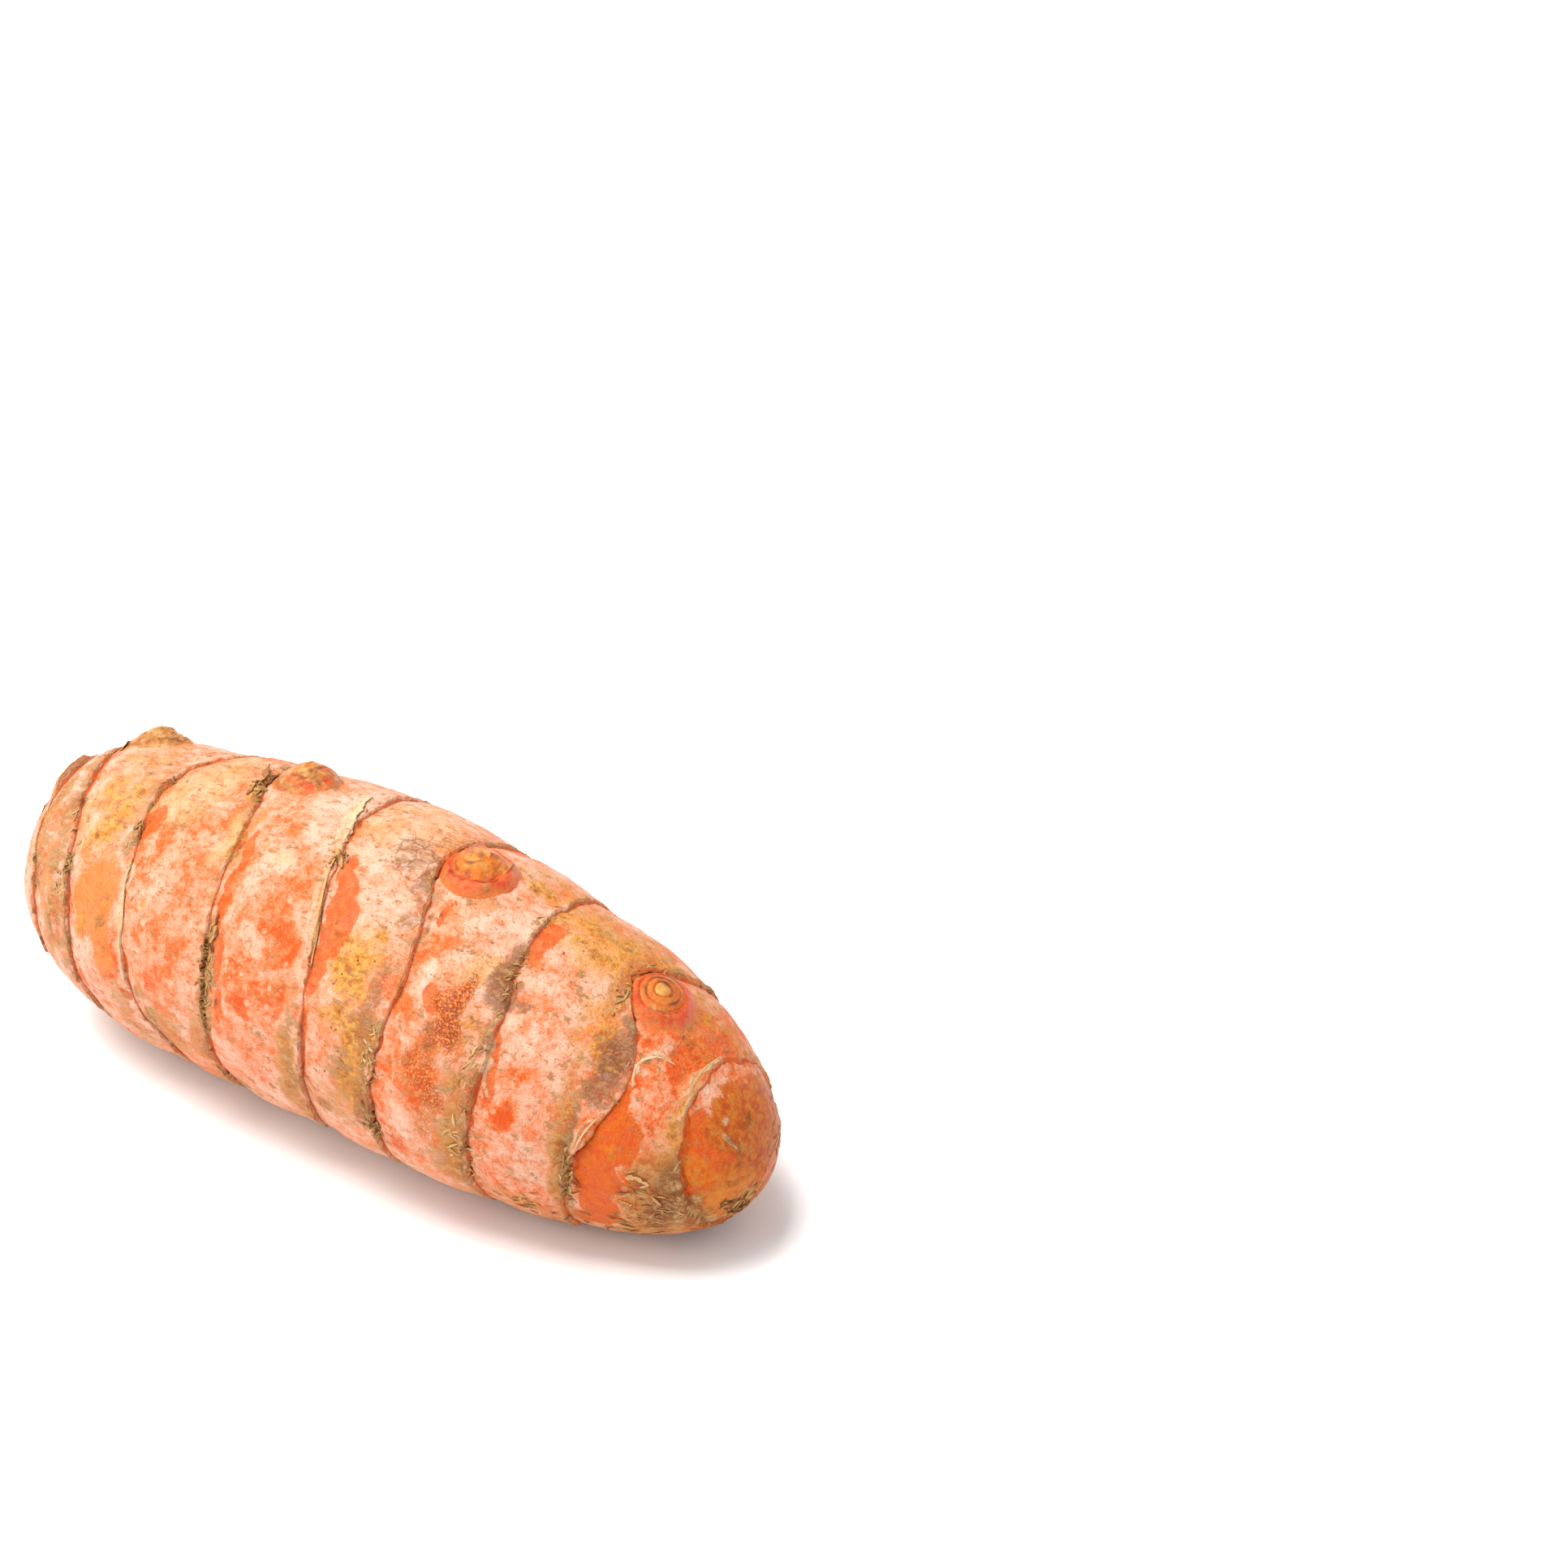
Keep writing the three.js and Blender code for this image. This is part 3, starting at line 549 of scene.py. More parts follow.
# The skin's main form at places along and round the finger: the outline's radius, plus an internode's swell
# halfway between its rings, the rim that rises before a ring, the hollow past it, the bud mounds and lumps.
def formAt(along, angle, internode=None):
    count = len(rings)
    angle = np.asarray(angle, float)
    across = (count,) + np.shape(along)
    crossings = np.broadcast_to(np.array([ringLine(ring, angle) for ring in range(count)]), across)
    sheath = np.broadcast_to(np.array([ringValue(ring, "sheath", angle) for ring in range(count)]), across)
    bare = np.broadcast_to(np.array([ringValue(ring, "bare", angle) for ring in range(count)]), across)
    if internode is None:
        internode = (crossings <= along).sum(0)
    far = np.full((1,) + across[1:], 99.0)
    none = 0 * far
    index = np.asarray(internode)[None]

    def pick(values):
        return np.take_along_axis(values, index, 0)[0]

    form = {
        "past": along - pick(np.concatenate([-far, crossings])),
        "before": pick(np.concatenate([crossings, far])) - along,
        "nextSheath": pick(np.concatenate([sheath, none])),
        "lastSheath": pick(np.concatenate([none, sheath])),
        "lastBare": pick(np.concatenate([none, bare])),
    }
    share = outlineShareAt(along)
    start = pick(np.concatenate([none, outlineShareAt(crossings)]))
    end = pick(np.concatenate([outlineShareAt(crossings), none + 1]))
    form["radius"] = outlineAt(share)[1]
    smooth = placeOut(along, angle, form["radius"])
    gone = np.clip((share - start) / (end - start), 0, 1)
    swell = np.array(skinForm["swell"])[internode] * np.sin(np.pi * gone)
    rim = skinForm["rim"] * (0.5 + 0.7 * form["nextSheath"]) * np.exp(-form["before"] / skinForm["rimLength"])
    hollow = skinForm["hollow"] * (0.5 + 0.6 * form["lastSheath"])
    hollow *= np.exp(-form["past"] / skinForm["hollowLength"])
    hollow *= 1 + 1.4 * clouds(smooth, 5, 14, 2)
    mound = sum(b["height"] * np.maximum(0, 1 - budReach(b, along, angle) ** 2) ** 1.5 for b in buds)
    relief = swell + rim - hollow + mound + skinForm["lumps"] * clouds(smooth, 9, 2, 2)
    form["fade"] = np.minimum(1, form["radius"] / finger["capRadius"])
    form["out"] = form["radius"] + relief * form["fade"]
    return form


# The skin: rows follow the rings, so that each rim and hollow lies on rows of its own. On the main form come
# dents, wrinkles, the felt's and the scar's grain, and the peeled patches, which lie a little lower.
def makeSkin(material):
    steps = skinForm["stepsAround"]
    angle = np.arange(steps)[None] * 360 / steps
    crossings = np.concatenate([ringLine(ring, angle) for ring in range(len(rings))])
    edges = np.concatenate([np.zeros((1, steps)), outlineShareAt(crossings), np.ones((1, steps))])
    internode = np.concatenate([np.full(count, k) for k, count in enumerate(skinForm["rows"])])[1:]
    even = np.concatenate([np.arange(count) / count for count in skinForm["rows"]])[1:]
    share = even - skinForm["crowding"] * np.sin(2 * np.pi * even) / (2 * np.pi)
    start, end = edges[internode], edges[internode + 1]
    along = outlineAt(start + (end - start) * share[:, None])[0]
    internode = np.broadcast_to(internode[:, None], along.shape)
    form = formAt(along, angle, internode)
    angle = np.broadcast_to(angle, along.shape)
    past, before, radius = form["past"], form["before"], form["radius"]
    nextSheath, lastSheath, lastBare = form["nextSheath"], form["lastSheath"], form["lastBare"]

    smooth = placeOut(along, angle, radius)
    rough = clouds(smooth, 0.9, 5, 3)
    slow = clouds(smooth, 3.2, 9, 3)
    warpAlong = along + clouds(smooth, 3.0, 21, 5) * 0.55
    warpAngle = angle + np.degrees(clouds(smooth, 3.0, 33, 5) * 0.55 / np.maximum(radius, 2))

    kinds = sorted(set(patches) | set(strokes))
    fields = {kind: markField(kind, warpAlong, warpAngle, radius, internode) for kind in kinds}
    tone = np.array(innerTone)[internode]
    fields["blush"] = np.maximum(tone, fields["blush"]) - 0.3 * fields.pop("cream")
    behind = soften(np.abs(turnFrom(228, angle)), 100, 75)
    wide = (0.3 + 1.1 * nextSheath) * (1 + 1.1 * slow) + 0.2 * rough
    edge = nextSheath * soften(1 - before / np.maximum(wide, 0.05), 0, 1)
    fields["tan"] = np.maximum(fields["tan"], 1.1 * edge)
    fields["felt"] = np.maximum(fields["felt"], 1.2 * edge * soften(slow - 0.3 * rough, -0.1, 0.6))
    line = soften(1 - past / (0.1 + 0.06 * rough), 0, 0.8) * lastSheath * soften(slow + 0.6 * rough, -0.1, 0.8)
    fields["umber"] = np.maximum(0.45 * fields["umber"], (0.4 + 0.5 * behind) * line)
    bandWidth = lastBare * (0.3 + 1.5 * slow) + 0.2 * rough
    fields["bare"] = np.maximum(fields["bare"], 0.9 * soften(1.25 - past / np.maximum(bandWidth, 0.05), 0, 0.9))
    fields["tip"] = soften(along + 0.5 * slow + 0.35 * rough, *skinForm["tipFrom"])
    fields["end"] = soften(0.3 * slow - along, *skinForm["endFrom"])
    fields["belly"] = soften(np.abs(turnFrom(180, angle)), 90, 40)
    lip = fields.pop("lip")
    coreRing = np.exp(-(((radius - skinForm["coreRing"] - 0.5 * slow) / 0.4) ** 2)) * fields["end"]
    fields["pale"] = np.maximum(fields["pale"], 0.8 * coreRing)

    nearBud = sum(soften(budReach(b, along, angle), 1.35, 0.9) for b in buds)
    fields["budSkin"] = np.clip(nearBud, 0, 1)
    relief = skinForm["dents"] * slow + skinForm["rimRough"] * rough * np.exp(-before / skinForm["rimLength"])
    relief += skinForm["wrinkles"] * rough * (1 - 0.8 * np.maximum(fields["bare"], fields["flesh"]))
    up = markHeight
    relief += up["felt"] * fields["felt"] * (0.6 + clouds(smooth, 0.5, 71, 2)) + up["pale"] * fields["pale"]
    relief += fields["grain"] * (up["grain"] * clouds(smooth, 0.6, 81, 2) - up["grainSunk"])
    relief += up["weathered"] * (fields["tan"] + fields["bruise"]) * clouds(smooth, 0.6, 86, 2)
    relief -= up["umber"] * fields["umber"] + up["bare"] * soften(fields["bare"], 0.3, 0.6)
    relief -= up["flesh"] * soften(fields["flesh"], 0.3, 0.6)
    relief += up["end"] * fields["end"] * clouds(smooth, 1.1, 91, 3) + up["lip"] * lip
    for place, height in skinForm["tipFolds"]:
        away = along - place - 0.5 * clouds(smooth * (0.3, 1, 1), 4, 95, 2)
        relief += height * np.exp(-((away / 0.22) ** 2)) * (1 + 0.8 * slow)
    out = form["out"] + relief * form["fade"]
    lean = skinForm["overhang"] * nextSheath * (1 + 0.8 * rough) * np.exp(-np.maximum(before, 0) / 0.18)
    grid = placeOut(along + lean, angle, out)
    grid[..., 2] = np.maximum(grid[..., 2], 0)  # the belly is flat where it lies

    startPole = placeOut(np.array(-fingerLength / 2), np.array(0.0), np.array(0.0))
    endPole = placeOut(np.array(fingerLength / 2), np.array(0.0), np.array(0.0))
    mesh = meshRound("skin", startPole[None], grid[None], endPole[None])
    for name, field in fields.items():
        addField(mesh, name, withPoles(field))
    skin = addPiece("skin", mesh, material)
    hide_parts("rhizome")
    print("skin made,", len(mesh.polygons), "faces")
    return skin


budForm = {
    "rows": 60,
    "steps": 100,
    "depth": 0.8,  # how far it goes down into the finger
    # Scales of each kind of bud from the outside in: reach along and aside, rise, shift along and aside, tone,
    # and how dark the crease round it is, a brown scale edge with painted shade laid into it.
    "dome": [
        (3.1, 3.2, 0.5, 0.1, 0.15, 0.14, 0.4), (2.3, 2.4, -0.3, -0.1, -0.1, 0.4, 0.9),
        (2.15, 2.25, 0.36, -0.1, -0.1, 0.68, 0.4), (1.6, 1.75, 0.1, -0.2, -0.05, 0.74, 1.0),
        (0.95, 1.1, 0.1, -0.3, 0.0, 0.84, 1.0),
    ],
    "eye": [
        (2.3, 2.9, 0.4, 0.0, 0.0, 0.22, 0.5), (1.6, 1.9, -0.2, -0.15, 0.1, 0.5, 0.9),
        (1.5, 1.8, 0.2, -0.15, 0.1, 0.6, 0.4),
        (1.1, 1.3, -0.14, -0.15, 0.1, 0.6, 0.9), (1.0, 1.2, 0.16, -0.15, 0.1, 0.68, 0.5),
        (0.6, 0.7, -0.1, -0.15, 0.1, 0.7, 1.0),
        (0.5, 0.6, 0.1, -0.15, 0.1, 0.95, 0.4),
    ],
    "knob": [
        (2.7, 2.8, 0.3, 0.0, 0.0, 0.25, 0.3), (2.0, 2.2, 0.25, -0.2, 0.1, 0.5, 0.7),
        (1.3, 1.6, 0.18, -0.4, -0.2, 0.72, 0.8),
        (0.7, 0.9, 0.1, 0.3, 0.6, 0.85, 0.6),
    ],
}


# A bud: a polar grid over its mound. The first scale swells softly out of the skin. Every other one is a low
# pillow on its own uneven oval, or a dip where its rise is negative. The last row goes down under the skin.
def makeBud(number, bud, material):
    scales = budForm[bud["kind"]]
    reachAlong, reachAside = scales[0][:2]
    rho = np.linspace(0, 1.1, budForm["rows"] + 1)[1:, None]
    phi = np.radians(np.arange(budForm["steps"]) * 360 / budForm["steps"])[None]
    aAlong, aAside = rho * np.cos(phi) * reachAlong, rho * np.sin(phi) * reachAside
    flat = np.stack([aAlong, aAside, np.full(aAlong.shape, number * 17.3)], -1)
    lift, tone, creaseAndShade = np.zeros(aAlong.shape), np.zeros(aAlong.shape), np.zeros(aAlong.shape)
    for place, (wide, high, rise, shiftAlong, shiftAside, shade, dark) in enumerate(scales):
        wobble = 1 + (0.04 + 0.14 * bud["dry"]) * clouds(flat + place * 5.1, 1.8, 7, 3)
        oval = np.hypot((aAlong - shiftAlong) / wide, (aAside - shiftAside) / high) / wobble
        inside = soften(1 - oval, 0, 0.12 if place else 0.3)
        pillow = np.sqrt(np.clip(1 - oval**2, 0, 1)) if rise > 0 and place else inside
        lift += rise * pillow * (1 + 0.3 * clouds(flat + place * 3.3, 1.5, 8, 2))
        tone += (shade - tone) * inside
        # A dark band round each scale's edge: partly its own brown margin, partly painted shade in the crease
        # between scales.
        around = dark * (0.6 + 0.9 * noise(flat + place * 2.7, 1.4, 18))
        creaseAndShade = np.maximum(creaseAndShade * (1 - 0.7 * inside), around * np.exp(-(((oval - 1) * wide / 0.13) ** 2)))
    lift += (0.03 + 0.1 * bud["dry"]) * clouds(flat, 0.7, 12, 3)
    edge = soften(rho, 0.9, 1.1)
    along, angle = bud["along"] + aAlong, bud["angle"] + np.degrees(aAside / bud["out"])
    out = formAt(along, angle)["out"] + lift - 0.2 * edge
    grid = placeOut(along, angle, out)
    grid[..., 2] = np.maximum(grid[..., 2], 0)
    top = placeOut(np.array(bud["along"]), np.array(float(bud["angle"])), out[0].mean())
    top[2] = max(top[2], 0)
    bottom = placeOut(np.array(bud["along"]), np.array(float(bud["angle"])), out[-1].mean() - budForm["depth"])
    mesh = meshRound("bud" + str(number), top[None], grid[None], bottom[None])
    addField(mesh, "tone", withPoles(tone))
    addField(mesh, "creaseAndShade", withPoles(creaseAndShade))
    addField(mesh, "dry", np.full(len(mesh.vertices), bud["dry"]))
    addPiece("bud" + str(number), mesh, material)


# Larger scraps of dried sheath and curled edges: half width, thickness, lift of the free edge, tone from cream
# at 0 to dark brown at 1, and points along and round the finger.
scraps = [
    (0.55, 0.1, 0.15, 0.08, [(-5.4, -20), (-4.6, -6), (-3.7, 4), (-3.1, 12)]),
    (0.22, 0.12, 0.1, 0.5, [(-3.2, 12), (-2.5, 15), (-1.8, 18)]),
    (0.13, 0.14, 0.05, 0.42, [(-2.7, 16), (-2.1, 25), (-1.2, 36), (-0.5, 47), (-0.2, 54)]),
    (0.3, 0.2, 0.4, 0.6, [(-28.2, -26), (-28, -20), (-27.7, -15)]),
    (0.25, 0.2, 0.5, 0.75, [(-14.5, -17), (-14, -13), (-13.4, -10)]),
    (0.08, 0.1, 0.03, 0.08, [(25.5, 16), (24.6, 18), (23.9, 23), (23.6, 29), (23.9, 36)]),
    (0.08, 0.1, 0.0, 0.35, [(26.9, -10), (26.8, 8), (27, 23), (27.3, 36)]),
    (0.08, 0.08, 0.03, 0.25, [(22.8, 58), (22.2, 67), (21.8, 77)]),
    (0.22, 0.12, 0.25, 0.3, [(25.2, 82), (25.8, 80), (26.6, 83)]),
    (0.12, 0.16, 0.05, 0.15, [(-18.5, 41), (-18.2, 52), (-17.6, 64), (-17.3, 75), (-16.7, 87)]),
]

# Small shreds in bundles: how many, middle along and round the finger, spread, length, heading in degrees
# from along the finger, half width, tones, lift.
shreds = [
    (34, (-9.0, 64), (0.2, 7), 0.9, 70, 0.16, (0.4, 0.95), 0.06),
    (24, (-8.7, 80), (0.2, 6), 0.8, 70, 0.13, (0.3, 0.8), 0.06),
    (16, (-2.5, 15), (0.25, 2), 0.6, 50, 0.08, (0.4, 0.8), 0.15),
    (24, (-24.4, 58), (0.3, 6), 0.7, 60, 0.12, (0.3, 0.6), 0.1),
    (14, (-19.5, 33), (0.2, 5), 0.7, 70, 0.1, (0.3, 0.6), 0.1),
    (20, (-13.0, -4), (0.3, 6), 0.8, 60, 0.1, (0.3, 0.9), 0.25),
    (24, (6.4, 72), (0.3, 7), 0.7, 60, 0.12, (0.2, 0.7), 0.05),
    (20, (6.4, 100), (0.3, 8), 0.8, 70, 0.12, (0.3, 0.8), 0.08),
    (20, (13.9, 24), (0.35, 5), 0.5, 40, 0.06, (0.5, 0.8), 0.06),
    (16, (14.0, 60), (0.3, 8), 0.6, 60, 0.07, (0.2, 0.6), 0.08),
    (24, (13.8, 95), (0.4, 10), 0.8, 50, 0.12, (0.2, 0.6), 0.06),
    (26, (21.3, 90), (0.3, 10), 0.8, 60, 0.1, (0.3, 0.7), 0.15),
    (24, (20.5, -4), (0.3, 8), 0.6, 60, 0.1, (0.5, 0.9), 0.12),
    (40, (26.6, 104), (1.0, 10), 0.6, 30, 0.1, (0.3, 0.8), 0.05),
    (20, (28.0, 98), (0.4, 9), 0.6, 40, 0.1, (0.5, 0.95), 0.05),
    (26, (24.6, 120), (1.6, 8), 0.8, 10, 0.08, (0.3, 0.7), 0.1),
    (40, (30.4, 132), (0.3, 14), 0.6, 70, 0.12, (0.3, 0.95), 0.2),
    (10, (30.4, 40), (0.25, 18), 0.5, 80, 0.012, (0.6, 0.8), 0.05),
    (12, (29.8, 2), (0.4, 12), 0.8, 75, 0.014, (0.6, 0.8), 0.05),
    (20, (30.4, 220), (0.4, 40), 0.8, 70, 0.03, (0.5, 0.9), 0.12),
    (16, (30.2, -60), (0.5, 24), 0.9, 70, 0.03, (0.5, 0.9), 0.12),
    (20, (17.8, 114), (1.0, 5), 0.7, 20, 0.04, (0.3, 0.7), 0.1),
    (30, (-30.2, 0), (0.3, 30), 0.8, 80, 0.05, (0.4, 0.8), 0.15),
    (24, (-30.6, 180), (0.3, 50), 0.8, 80, 0.05, (0.4, 0.8), 0.15),
]
stripForm = {
    "scrapSize": (60, 10),  # rows and steps of a scrap's grid
    "shredSize": (9, 4),
    "ragged": 0.5,
    "perRing": 20,  # shreds strewn along each ring
    "seed": 5,
}


# Thin strips that lie on the skin. Each is a flat oval section carried along a smooth path, narrow and thin at
# both ends, with a ragged width and its far edge lifted. The arrays run over strips, rows and steps.
def makeStrips(name, lines, halfWidth, thickness, lift, tone, size, material):
    rows, steps = size
    lines = np.swapaxes(lines, 0, 1)
    share = (np.arange(rows) + 0.5) / rows
    path = np.swapaxes(smoothThrough(lines, share), 0, 1)
    ahead = smoothThrough(lines, np.minimum(share + 0.01, 1)) - smoothThrough(lines, np.maximum(share - 0.01, 0))
    ahead = np.swapaxes(ahead, 0, 1)
    radius = formAt(path[..., 0], path[..., 1])["out"]
    run = np.stack([ahead[..., 0], np.radians(ahead[..., 1]) * radius], -1)
    run /= np.linalg.norm(run, axis=-1, keepdims=True) + 1e-9
    taper = np.sqrt(np.sin(np.pi * share))[None]
    number = np.broadcast_to(np.arange(path.shape[0])[:, None] * 7.7, path.shape[:2])
    spots = np.stack([np.broadcast_to(share * 9, number.shape), number, number * 0], -1)
    width = halfWidth[:, None] * taper * (1 + stripForm["ragged"] * clouds(spots, 1.1, 15, 3))
    psi = np.radians(np.arange(steps) * 360 / steps)
    side, high = np.cos(psi) * width[..., None], np.sin(psi) * (thickness[:, None] / 2 * taper)[..., None]
    along = path[..., :1] + side * run[..., 1:]
    angle = path[..., 1:] - np.degrees(side * run[..., :1] / radius[..., None])
    curl = (lift[:, None] * taper * (1 + clouds(spots + 3, 1.4, 16, 2)))[..., None] * ((np.cos(psi) + 1) / 2) ** 2
    grids = placeOut(along, angle, formAt(along, angle)["out"] + 0.03 + high + curl)
    grids[..., 2] = np.maximum(grids[..., 2], 0)
    middles = grids.mean(2)
    starts, ends = middles[:, 0] * 1.5 - middles[:, 1] * 0.5, middles[:, -1] * 1.5 - middles[:, -2] * 0.5
    mesh = meshRound(name, starts, grids, ends)
    addField(mesh, "tone", np.repeat(tone, rows * steps + 2))
    addPiece(name, mesh, material)
    print(name, "made,", len(grids))


# The larger scraps, each along its own points, as one piece.
def makeScraps(material):
    lines = np.array([smoothThrough(scrap[4], np.linspace(0, 1, 9)) for scrap in scraps])
    halfWidth, thickness, lift, tone = np.array([scrap[:4] for scrap in scraps]).T
    makeStrips("sheath_scraps", lines, halfWidth, thickness, lift, tone, stripForm["scrapSize"], material)


# Shreds: in each bundle they are spread evenly at random round its middle, and some lie along every ring.
def makeShreds(material):
    rng = np.random.default_rng(stripForm["seed"])
    made = []
    for count, middle, spread, length, heading, halfWidth, tones, lift in shreds:
        places = rng.normal(middle, spread, (count, 2))
        made.append((places, length, heading, halfWidth, rng.uniform(*tones, count), lift))
    for ring in range(len(rings)):
        turned = rng.uniform(0, 360, stripForm["perRing"])
        places = np.stack([ringLine(ring, turned) - rng.uniform(0, 0.4, len(turned)), turned], -1)
        made.append((places, 0.7, 70, 0.06, rng.uniform(0.2, 0.7, len(turned)), 0.06))
    sizes = [len(bundle[0]) for bundle in made]
    places = np.concatenate([bundle[0] for bundle in made])
    length, heading, halfWidth, lift = [np.repeat([bundle[k] for bundle in made], sizes) for k in (1, 2, 3, 5)]
    tone = np.concatenate([bundle[4] for bundle in made])
    length = length * rng.uniform(0.4, 1.5, len(places))
    turned = np.radians(heading * rng.choice([-1, 1], len(places)) + rng.normal(0, 25, len(places)))
    reach = np.maximum(outlineAt(outlineShareAt(places[:, 0]))[1], 2.0)
    half = np.stack([np.cos(turned) * length / 2, np.degrees(np.sin(turned) * length / 2 / reach)], -1)
    bend = rng.normal(0, 0.08, half.shape) * np.stack([length, np.degrees(length / reach)], -1)
    lines = np.stack([places - half, places + bend, places + half], 1)
    lines[..., 0] = np.clip(lines[..., 0], -31, 31.2)
    halfWidth = halfWidth * rng.uniform(0.5, 1.4, len(places))
    thickness = np.minimum(0.06, halfWidth)
    lift = lift * rng.uniform(0, 1.2, len(places))
    makeStrips("sheath_shreds", lines, halfWidth, thickness, lift, tone, stripForm["shredSize"], material)


lightGain = (1.42, 1.6, 1.86)  # how much brighter the lit skin is than its colour
whiteGloss = 0.03  # white that its gloss adds


# A colour as it is seen, from 0 to 255, as the light that the surface itself gives back.
def seen(red, green, blue):
    part = np.array([red, green, blue]) / 255
    linear = np.where(part <= 0.04045, part / 12.92, ((part + 0.055) / 1.055) ** 2.4)
    return (*np.maximum((linear - whiteGloss) / lightGain, 0.001).tolist(), 1.0)


# One node with its settings and its inputs, which are values or other nodes' outputs.
def addNode(tree, kind, inputs=None, **settings):
    made = tree.nodes.new(kind)
    for name, value in settings.items():
        setattr(made, name, value)
    for name, value in (inputs or {}).items():
        if isinstance(value, bpy.types.NodeSocket):
            tree.links.new(value, made.inputs[name])
        else:
            made.inputs[name].default_value = value
    return made


# Cloudy pattern on the piece's own coordinates, from about -1 to 1, with spots from this size downwards.
def cloudNode(tree, size, detail=6.0, roughness=0.65, stretch=(1, 1, 1), shift=0.0):
    coords = addNode(tree, "ShaderNodeTexCoord").outputs["Object"]
    inputs = {"Vector": coords, "Scale": stretch, "Location": (shift * mm,) * 3}
    placed = addNode(tree, "ShaderNodeMapping", inputs).outputs[0]
    inputs = {"Vector": placed, "Scale": 1 / (size * mm), "Detail": detail, "Roughness": roughness}
    return mathNode(tree, "MULTIPLY_ADD", addNode(tree, "ShaderNodeTexNoise", inputs).outputs[0], 8.0, -4.0)


# A field of the mesh, read by its name.
def fieldNode(tree, name):
    return addNode(tree, "ShaderNodeAttribute", attribute_name=name).outputs["Fac"]


# One sum of two or three values.
def mathNode(tree, operation, first, second, third=0.0):
    return addNode(tree, "ShaderNodeMath", {0: first, 1: second, 2: third}, operation=operation).outputs[0]


# Soft step from 0 at low to 1 at high.
def stepNode(tree, value, low, high):
    inputs = {"Value": value, "From Min": low, "From Max": high}
    return addNode(tree, "ShaderNodeMapRange", inputs, interpolation_type="SMOOTHSTEP").outputs[0]


# The upper colour laid over the lower one, by the factor.
def mixColour(tree, factor, under, over):
    return addNode(tree, "ShaderNodeMix", {0: factor, 6: under, 7: over}, data_type="RGBA").outputs[2]


# The same for a plain number.
def mixNumber(tree, factor, under, over):
    return addNode(tree, "ShaderNodeMix", {0: factor, 2: under, 3: over}).outputs[0]


# A colour from evenly blended stops, each a place from 0 to 1 and its colour.
def rampNode(tree, value, stops):
    ramp = addNode(tree, "ShaderNodeValToRGB", {"Fac": value})
    elements = ramp.color_ramp.elements
    while len(elements) < len(stops):
        elements.new(0.5)
    for element, (place, colour) in zip(elements, stops):
        element.position = place
        element.color = colour
    return ramp.outputs["Color"]


skinLook = {
    "blushStops": [  # from the pale outer skin to the coral that shows through it
        (0.0, seen(254, 218, 202)), (0.22, seen(253, 202, 180)), (0.42, seen(252, 182, 152)),
        (0.6, seen(252, 160, 118)), (0.78, seen(250, 132, 78)), (1.0, seen(243, 104, 40)),
    ],
    "cloudy": 0.16,  # how much the clouds, the lace and the grain move the blush
    "lacy": 0.26,
    "grainy": 0.13,
    "powdery": 0.07,
    "yellow": seen(252, 205, 145),
    "dot": seen(255, 222, 200),
    "speck": seen(104, 72, 46),
    # darker orange flecks, partly the skin's own, partly painted fine shade in its grain
    "pepperAndShade": seen(204, 112, 64),
    "crack": seen(140, 88, 56),
    "bumpHeight": 0.07,  # mm
}

